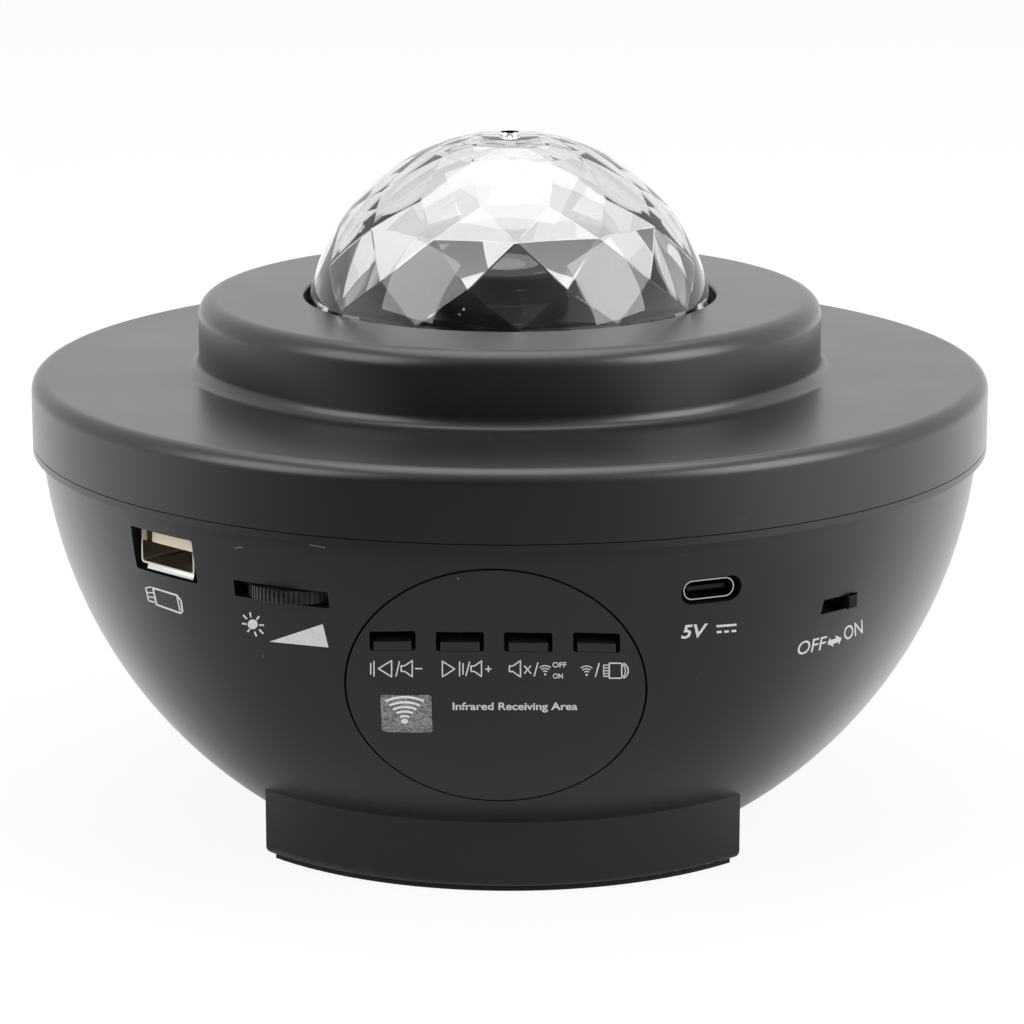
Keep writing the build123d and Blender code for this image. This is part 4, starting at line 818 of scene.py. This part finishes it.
def makeSocketLip():
    fall, turn = radians(socketLip["fall"]), radians(socketLip["azimuth"])
    shift, halfReach = socketLip["shift"], socketLip["reach"] / 2
    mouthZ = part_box("usb_a_shell")[1][2] / mm - socketLip["mouthHeight"] + socketLip["thickness"] / 2
    out = socketLip["mouthRadius"] + halfReach * cos(fall)
    x = out * sin(turn) + shift * cos(turn)
    y = -out * cos(turn) + shift * sin(turn)
    place = Vector((x, y, mouthZ - halfReach * sin(fall)))
    bpy.ops.mesh.primitive_plane_add(size=1, location=place * mm, rotation=(fall, 0, turn))
    lip = bpy.context.object
    lip.scale = (socketLip["width"] * mm, socketLip["reach"] * mm, 1)
    editAll(settle(lip), "FACE")
    back = Vector((-sin(turn), cos(turn), 0)) * socketLip["thickness"] * mm
    bpy.ops.mesh.extrude_region_move(TRANSFORM_OT_translate={"value": back})
    bpy.ops.mesh.select_all(action="SELECT")
    bpy.ops.mesh.normals_make_consistent(inside=False)
    bpy.ops.mesh.bevel(offset=socketLip["corner"] * mm, segments=socketLip["cornerSteps"], affect="EDGES")
    return smooth(done(lip), socketLip["smoothTo"])


finishPiece(makeSocketLip(), "socketLip", "base", lipPaintedHighlightMetal)
print("socket lip painted highlight made")

# bottom screws: pan heads with a cross recess, modelled at the first place and copied to the others
footScrew = {
    "places": ((-28.0, -36.0), (28.0, -36.0), (-28.0, 36.0), (28.0, 36.0)), "segments": 40, "smoothTo": 25,
    # radius and height over the head's face, from the shaft's end down
    "rings": ((1.0, 8.4), (1.0, 1.4), (2.4, 1.4), (2.4, 0.45), (2.2, 0.16), (1.8, 0.0)),
    "recess": (2.5, 0.56, 1.8),  # an arm's length and width, and twice its depth
}


def makeScrew(x, y):
    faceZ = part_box("bottom_screws")[0][2] / mm
    reach, z = footScrew["rings"][0]
    bpy.ops.mesh.primitive_circle_add(vertices=footScrew["segments"], radius=reach * mm, fill_type="NGON",
                                      location=(x * mm, y * mm, (faceZ + z) * mm))
    screw = settle(bpy.context.object)
    editAll(screw, "FACE")
    for newReach, newZ in footScrew["rings"][1:]:
        grow = newReach / reach
        bpy.ops.mesh.extrude_region_move(TRANSFORM_OT_translate={"value": (0, 0, (newZ - z) * mm)})
        bpy.ops.transform.resize(value=(grow, grow, 1), center_override=(x * mm, y * mm, 0))
        reach, z = newReach, newZ
    mend()
    done(screw)
    face = Vector((x, y, faceZ)) * mm
    for turn in (0, 90):  # the two arms of the cross
        bpy.ops.mesh.primitive_cube_add(size=1, location=face, rotation=(0, 0, radians(turn)))
        arm = bpy.context.object
        arm.scale = Vector(footScrew["recess"]) * mm
        cutAway(screw, settle(arm))
    return screw


def makeFootScrews():
    x, y = footScrew["places"][0]
    screw = makeScrew(x, y)
    screws = [screw]
    for otherX, otherY in footScrew["places"][1:]:
        twin = screw.copy()
        twin.data = screw.data.copy()
        scene.collection.objects.link(twin)
        twin.location = ((otherX - x) * mm, (otherY - y) * mm, 0)
        screws.append(settle(twin))
    return smooth(join(screws), footScrew["smoothTo"])


footScrews = finishPiece(makeFootScrews(), "crossHeadScrews", "base", finishes["screw_steel"])
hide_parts("bottom_screws")
print("bottom screws made:", len(footScrews.data.polygons), "faces")

# legends are drawn flat, in the units of the camera's frame and with y downwards, and then laid on the bowl
# along the camera's sight lines
ink = {"lift": 0.03, "stroke": 1.35, "cutEvery": 5.0, "dotSegments": 20, "arcSteps": 14, "letterSteps": 6}


def layOnBowl(piece, lift):  # moves each point of a flat drawing onto the ball
    turn = camera.matrix_world.to_3x3()
    toward = camera.location - Vector((0, 0, bowl["centreZ"] * mm))
    radius = (bowl["radius"] + lift) * mm
    for vertex in piece.data.vertices:
        across, up = vertex.co.x / mm - view["centreX"], vertex.co.y / mm + view["centreY"]
        sight = (turn @ Vector((across / view["focal"], up / view["focal"], -1.0))).normalized()
        half = toward.dot(sight)
        reach = -half - sqrt(half * half - toward.length_squared + radius * radius)
        vertex.co = camera.location + sight * reach


def bar(x0, y0, x1, y1, width):  # straight stroke between two points of the drawing
    length = hypot(x1 - x0, y1 - y0)
    cuts = int(length / ink["cutEvery"])  # lets a long stroke follow the ball
    bpy.ops.mesh.primitive_plane_add(size=1, location=((x0 + x1) / 2 * mm, -(y0 + y1) / 2 * mm, 0),
                                     rotation=(0, 0, atan2(y0 - y1, x1 - x0)))
    stroke = bpy.context.object
    stroke.scale = (length * mm, width * mm, 1)
    settle(stroke)
    if cuts:
        editAll(stroke)
        bpy.ops.mesh.subdivide(number_cuts=cuts)
        done(stroke)
    return stroke


def dot(x, y, radius, flatness=1.0):
    bpy.ops.mesh.primitive_circle_add(vertices=ink["dotSegments"], radius=radius * mm, fill_type="NGON",
                                      location=(x * mm, -y * mm, 0))
    made = bpy.context.object
    made.scale = (1, flatness, 1)
    return settle(made)


def path(points, width, closed=False):  # a run of strokes with round corners
    ends = list(points) + ([points[0]] if closed else [])
    strokes = [bar(*ends[k], *ends[k + 1], width) for k in range(len(ends) - 1)]
    return strokes + [dot(x, y, width / 2) for x, y in (points if closed else points[1:-1])]


def arc(x, y, radius, width, start, end):  # band spun round a centre, in degrees from the right, upwards
    bpy.ops.mesh.primitive_plane_add(size=1)
    band = bpy.context.object
    band.scale = (width * mm, width * mm, 1)
    settle(band)
    edit(band)
    choose(band, lambda co: co.y > 0)
    bpy.ops.mesh.delete(type="VERT")  # one edge of the square stays
    bpy.ops.mesh.select_all(action="SELECT")
    bpy.ops.transform.translate(value=(radius * mm, width / 2 * mm, 0))
    done(band)
    band.rotation_euler = (0, 0, radians(start))
    editAll(settle(band))
    bpy.ops.mesh.spin(steps=ink["arcSteps"], angle=radians(end - start), center=origin, axis=(0, 0, -1))
    done(band)
    highest = max(vertex.co.y for vertex in band.data.vertices)
    if (highest < 0) == (0 < (start + end) / 2 < 180):  # the spin went the other way
        band.scale = (1, -1, 1)
        settle(band)
    band.location = (x * mm, -y * mm, 0)
    return settle(band)


def lettering(words, x0, y0, x1, y1, height, slant=0.0, weight=0.0):  # fills a base line from end to end
    bpy.ops.object.text_add()
    text = bpy.context.object
    text.data.body = words
    text.data.shear = slant
    text.data.offset = weight
    text.data.resolution_u = ink["letterSteps"]
    bpy.ops.object.convert(target="MESH")
    text = bpy.context.object
    xs = [vertex.co.x for vertex in text.data.vertices]
    ys = [vertex.co.y for vertex in text.data.vertices]
    length, turn = hypot(x1 - x0, y1 - y0), atan2(y0 - y1, x1 - x0)
    wide, high = length / (max(xs) - min(xs)), height / (max(ys) - max(min(ys), 0.0))
    for vertex in text.data.vertices:
        along, rise = (vertex.co.x - min(xs)) * wide, vertex.co.y * high
        x = x0 + along * cos(turn) - rise * sin(turn)
        y = -y0 + along * sin(turn) + rise * cos(turn)
        vertex.co = (x * mm, y * mm, 0)
    return text


def printOn(parts, name, finish, lift=ink["lift"]):
    piece = join(parts)
    layOnBowl(piece, lift)
    editAll(piece)
    bpy.ops.mesh.normals_make_consistent(inside=False)
    done(piece)
    centre = Vector((0, 0, bowl["centreZ"] * mm))
    facing = sum(face.normal.dot(face.center - centre) * face.area for face in piece.data.polygons)
    if facing < 0:
        editAll(piece)
        bpy.ops.mesh.flip_normals()
        done(piece)
    return finishPiece(piece, name, "base", finish)


speakerMark = {"back": 2.9, "neck": 3.6, "mouth": 11.4, "flare": 8.4}
radioMark = {"dot": 1.2, "radii": (3.6, 6.4, 9.2), "width": 1.15, "from": 50, "to": 130}
stickMark = {
    "contacts": (-5.6, -2.8, 0.0, 2.8, 5.6), "contactLength": 5.4, "contactWidth": 1.05,
    "plugX": 0.2, "plugWidth": 1.0, "bodyStart": 5.9, "bodyEnd": 17.8, "capX": 18.4, "halfHeight": 7.5,
    "ends": ((16.6, 8.2, 1.0, 66), (12.4, 9.6, 0.8, 40)),  # centre, radius, share of the stroke, half angle
}
# the row under the keys: bars from point to point, the rest by its place, height and size
keyMarks = {
    "bars": ((370.7, 662.8, 370.7, 674.5), (374.0, 660.9, 374.0, 676.4), (396.0, 676.4, 399.5, 661.2),
             (415.0, 668.6, 422.2, 668.6),
             (459.6, 661.4, 459.6, 676.2), (463.0, 663.0, 463.0, 674.6), (465.9, 676.0, 469.6, 661.6),
             (485.3, 669.0, 491.5, 669.0), (488.4, 665.9, 488.4, 672.1),
             (524.2, 665.6, 531.0, 673.6), (531.0, 665.6, 524.2, 673.6), (534.1, 676.4, 538.0, 662.4),
             (595.3, 677.0, 599.2, 663.2)),
    "triangles": (((378.4, 668.6), (391.6, 660.6), (391.6, 676.8)),
                  ((442.4, 661.2), (454.7, 669.0), (442.4, 676.8))),
    "speakers": ((401.2, 668.6, 0.97), (471.0, 668.7, 0.92), (509.4, 668.8, 0.97)),
    "radios": ((545.2, 674.4, 0.95), (586.6, 674.8, 0.95)),
    "words": (("OFF", 552.4, 667.3, 566.5, 667.3, 5.2), ("ON", 552.8, 678.4, 562.8, 678.4, 5.0)),
    "wordWeight": 0.02,
    "stick": (603.4, 670.7),
}


def speaker(x, y, size):  # a small box with a cone, as on a mute or volume key
    neck, mouth = x + speakerMark["neck"] * size, x + speakerMark["mouth"] * size
    back, flare = speakerMark["back"] * size, speakerMark["flare"] * size
    upper = [(x, y - back), (neck, y - back), (mouth, y - flare)]
    lower = [(mouth, y + flare), (neck, y + back), (x, y + back)]
    return path(upper + lower, ink["stroke"], True)


def radio(x, y, size):  # three arcs over a dot
    rings = [arc(x, y, radius * size, radioMark["width"] * size, radioMark["from"], radioMark["to"])
             for radius in radioMark["radii"]]
    return [dot(x, y, radioMark["dot"] * size)] + rings


def memoryStick(x, y):  # a plug with its contacts, and a body with a rounded end
    contacts, half = stickMark["contacts"], stickMark["halfHeight"]
    keys = ("contactLength", "bodyStart", "bodyEnd", "plugX", "capX")
    tip, start, end, plugX, capX = (x + stickMark[key] for key in keys)
    parts = [bar(x, y + up, tip, y + up, stickMark["contactWidth"]) for up in contacts]
    parts.append(bar(plugX, y + contacts[0], plugX, y + contacts[-1], stickMark["plugWidth"]))
    parts += path([(end, y - half), (start, y - half), (start, y + half), (end, y + half)], ink["stroke"])
    parts.append(bar(capX, y - half, capX, y + half, ink["stroke"]))
    for centre, radius, share, angle in stickMark["ends"]:
        parts.append(arc(x + centre, y, radius, ink["stroke"] * share, -angle, angle))
    return parts


def drawKeyLegends():
    parts = [bar(*ends, ink["stroke"]) for ends in keyMarks["bars"]]
    for corners in keyMarks["triangles"]:
        parts += path(corners, ink["stroke"], True)
    for place in keyMarks["speakers"]:
        parts += speaker(*place)
    for place in keyMarks["radios"]:
        parts += radio(*place)
    for words in keyMarks["words"]:
        parts.append(lettering(*words, weight=keyMarks["wordWeight"]))
    return parts + memoryStick(*keyMarks["stick"])


printOn(drawKeyLegends(), "keyLegends", legendPrint)

# under the wide socket a memory stick, under the thumb wheel a sun and a rising wedge
portMarks = {
    "stickBody": ((152.9, 587.9), (176.6, 595.2), (181.0, 600.8), (182.4, 611.2), (180.6, 613.2),
                  (156.6, 604.6)),
    "stickPlug": ((151.4, 586.9), (145.7, 587.9), (148.7, 600.6), (154.6, 602.4)),
    "stickBars": ((146.8, 592.4, 153.0, 592.9), (147.9, 596.6, 154.2, 597.6), (177.0, 597.0, 180.0, 611.0)),
    "bodyStroke": 1.9, "plugStroke": 1.5, "barStroke": 1.3,
    "sun": (252.7, 624.4, 5.0), "rayStroke": 1.7,
    "rays": ((249.9, 612.2, 251.0, 617.3), (259.2, 616.2, 256.3, 619.8), (263.9, 625.2, 259.2, 625.1),
             (263.2, 633.7, 259.2, 629.4), (256.6, 636.3, 254.5, 631.7), (247.4, 632.0, 249.9, 629.1),
             (242.0, 623.4, 246.6, 624.1), (243.1, 615.0, 247.0, 619.1)),
    "wedgeTip": (269.2, 641.7), "wedgeLow": (328.5, 647.5), "wedgeHigh": (322.8, 624.1), "wedgeCuts": 11,
}


def drawWedge():  # a square whose left edge is drawn together to a point
    bpy.ops.mesh.primitive_plane_add(size=1)
    wedge = bpy.context.object
    editAll(wedge)
    bpy.ops.mesh.subdivide(number_cuts=portMarks["wedgeCuts"])
    done(wedge)
    tip, low, high = (Vector((*portMarks[key], 0)) for key in ("wedgeTip", "wedgeLow", "wedgeHigh"))
    for vertex in wedge.data.vertices:
        across, up = vertex.co.x + 0.5, vertex.co.y + 0.5
        spot = tip.lerp(low.lerp(high, up), across)
        vertex.co = (spot.x * mm, -spot.y * mm, 0)
    editAll(wedge)
    bpy.ops.mesh.remove_doubles(threshold=touch)
    return done(wedge)


def drawPortLegends():
    parts = path(portMarks["stickBody"], portMarks["bodyStroke"], True)
    parts += path(portMarks["stickPlug"], portMarks["plugStroke"])
    parts += [bar(*ends, portMarks["barStroke"]) for ends in portMarks["stickBars"]]
    parts.append(dot(*portMarks["sun"]))
    parts += [bar(*ends, portMarks["rayStroke"]) for ends in portMarks["rays"]]
    return parts + [drawWedge()]


printOn(drawPortLegends(), "portLegends", legendPrint)

# under the power inlet its voltage with the direct-current sign, under the switch OFF, a double arrow and ON
powerMarks = {
    "words": (("5V", 681.0, 638.4, 709.0, 636.4, 13.0, 0.3, 0.02),
              ("OFF", 798.6, 655.0, 830.0, 647.9, 12.6, 0.45, 0.008),
              ("ON", 845.8, 640.0, 867.2, 630.9, 12.6, 0.5, 0.008)),
    "currentBar": (716.5, 626.3, 736.5, 624.7), "currentDash": (716.8, 632.2, 721.6, 631.8),
    "currentStroke": 2.3, "dashes": 3, "dashStep": (7.3, -0.5),
    "arrowShaft": (831.4, 642.4, 838.6, 639.4), "shaftStroke": 4.6, "arrowMiddle": (834.5, 641.0),
    "headTip": (7.2, -3.1), "headBase": (2.6, -1.1), "headHalf": (2.0, 4.6),
}


def drawArrowHead(side):
    (midX, midY), (tipX, tipY), (baseX, baseY), (halfX, halfY) = (
        powerMarks[key] for key in ("arrowMiddle", "headTip", "headBase", "headHalf"))
    x, y = midX + side * baseX, midY + side * baseY
    bpy.ops.mesh.primitive_circle_add(vertices=3, radius=mm, fill_type="NGON")
    head = bpy.context.object
    corners = ((midX + side * tipX, midY + side * tipY), (x + halfX, y + halfY), (x - halfX, y - halfY))
    for vertex, corner in zip(head.data.vertices, corners):
        vertex.co = (corner[0] * mm, -corner[1] * mm, 0)
    return head


def drawPowerLegends():
    parts = [lettering(*words) for words in powerMarks["words"]]
    parts.append(bar(*powerMarks["currentBar"], powerMarks["currentStroke"]))
    x0, y0, x1, y1 = powerMarks["currentDash"]
    for k in range(powerMarks["dashes"]):
        right, down = (step * k for step in powerMarks["dashStep"])
        parts.append(bar(x0 + right, y0 + down, x1 + right, y1 + down, powerMarks["currentStroke"]))
    parts.append(bar(*powerMarks["arrowShaft"], powerMarks["shaftStroke"]))
    return parts + [drawArrowHead(side) for side in (-1, 1)]


printOn(drawPowerLegends(), "powerLegends", legendPrint)

sensorMarks = {
    "words": ("Infrared Receiving Area", 452.6, 709.8, 577.4, 709.8, 7.4, 0.0, 0.02),
    "x": 404.7, "lift": 0.06, "stroke": 2.3,
    "dot": (721.2, 3.6, 0.72),  # height, radius and flatness
    # top, half width and sag
    "arcs": ((697.0, 19.2, 4.2), (702.2, 15.2, 3.3), (706.9, 11.8, 2.6), (711.4, 8.3, 1.9), (716.0, 4.6, 1.0)),
}


def drawSensorArcs():
    parts = [dot(sensorMarks["x"], *sensorMarks["dot"])]
    for top, reach, sag in sensorMarks["arcs"]:
        radius = (reach * reach + sag * sag) / (2 * sag)
        half = degrees(asin(reach / radius))
        parts.append(arc(sensorMarks["x"], top + radius, radius, sensorMarks["stroke"], 90 - half, 90 + half))
    return parts


printOn([lettering(*sensorMarks["words"])], "sensorLegend", legendPrint)
printOn(drawSensorArcs(), "sensorArcs", arcPrint, sensorMarks["lift"])

# light marks just under the seam, each by its points and stroke
scratches = {
    "left": (((234.6, 548.4), (238.4, 547.4), (242.2, 547.0)), 0.8),
    "right": (((309.6, 544.8), (316.0, 545.8), (325.0, 547.8)), 0.9),
}
printOn(path(*scratches["left"]) + path(*scratches["right"]), "seamScratches", scratchMark)
print("legends printed")
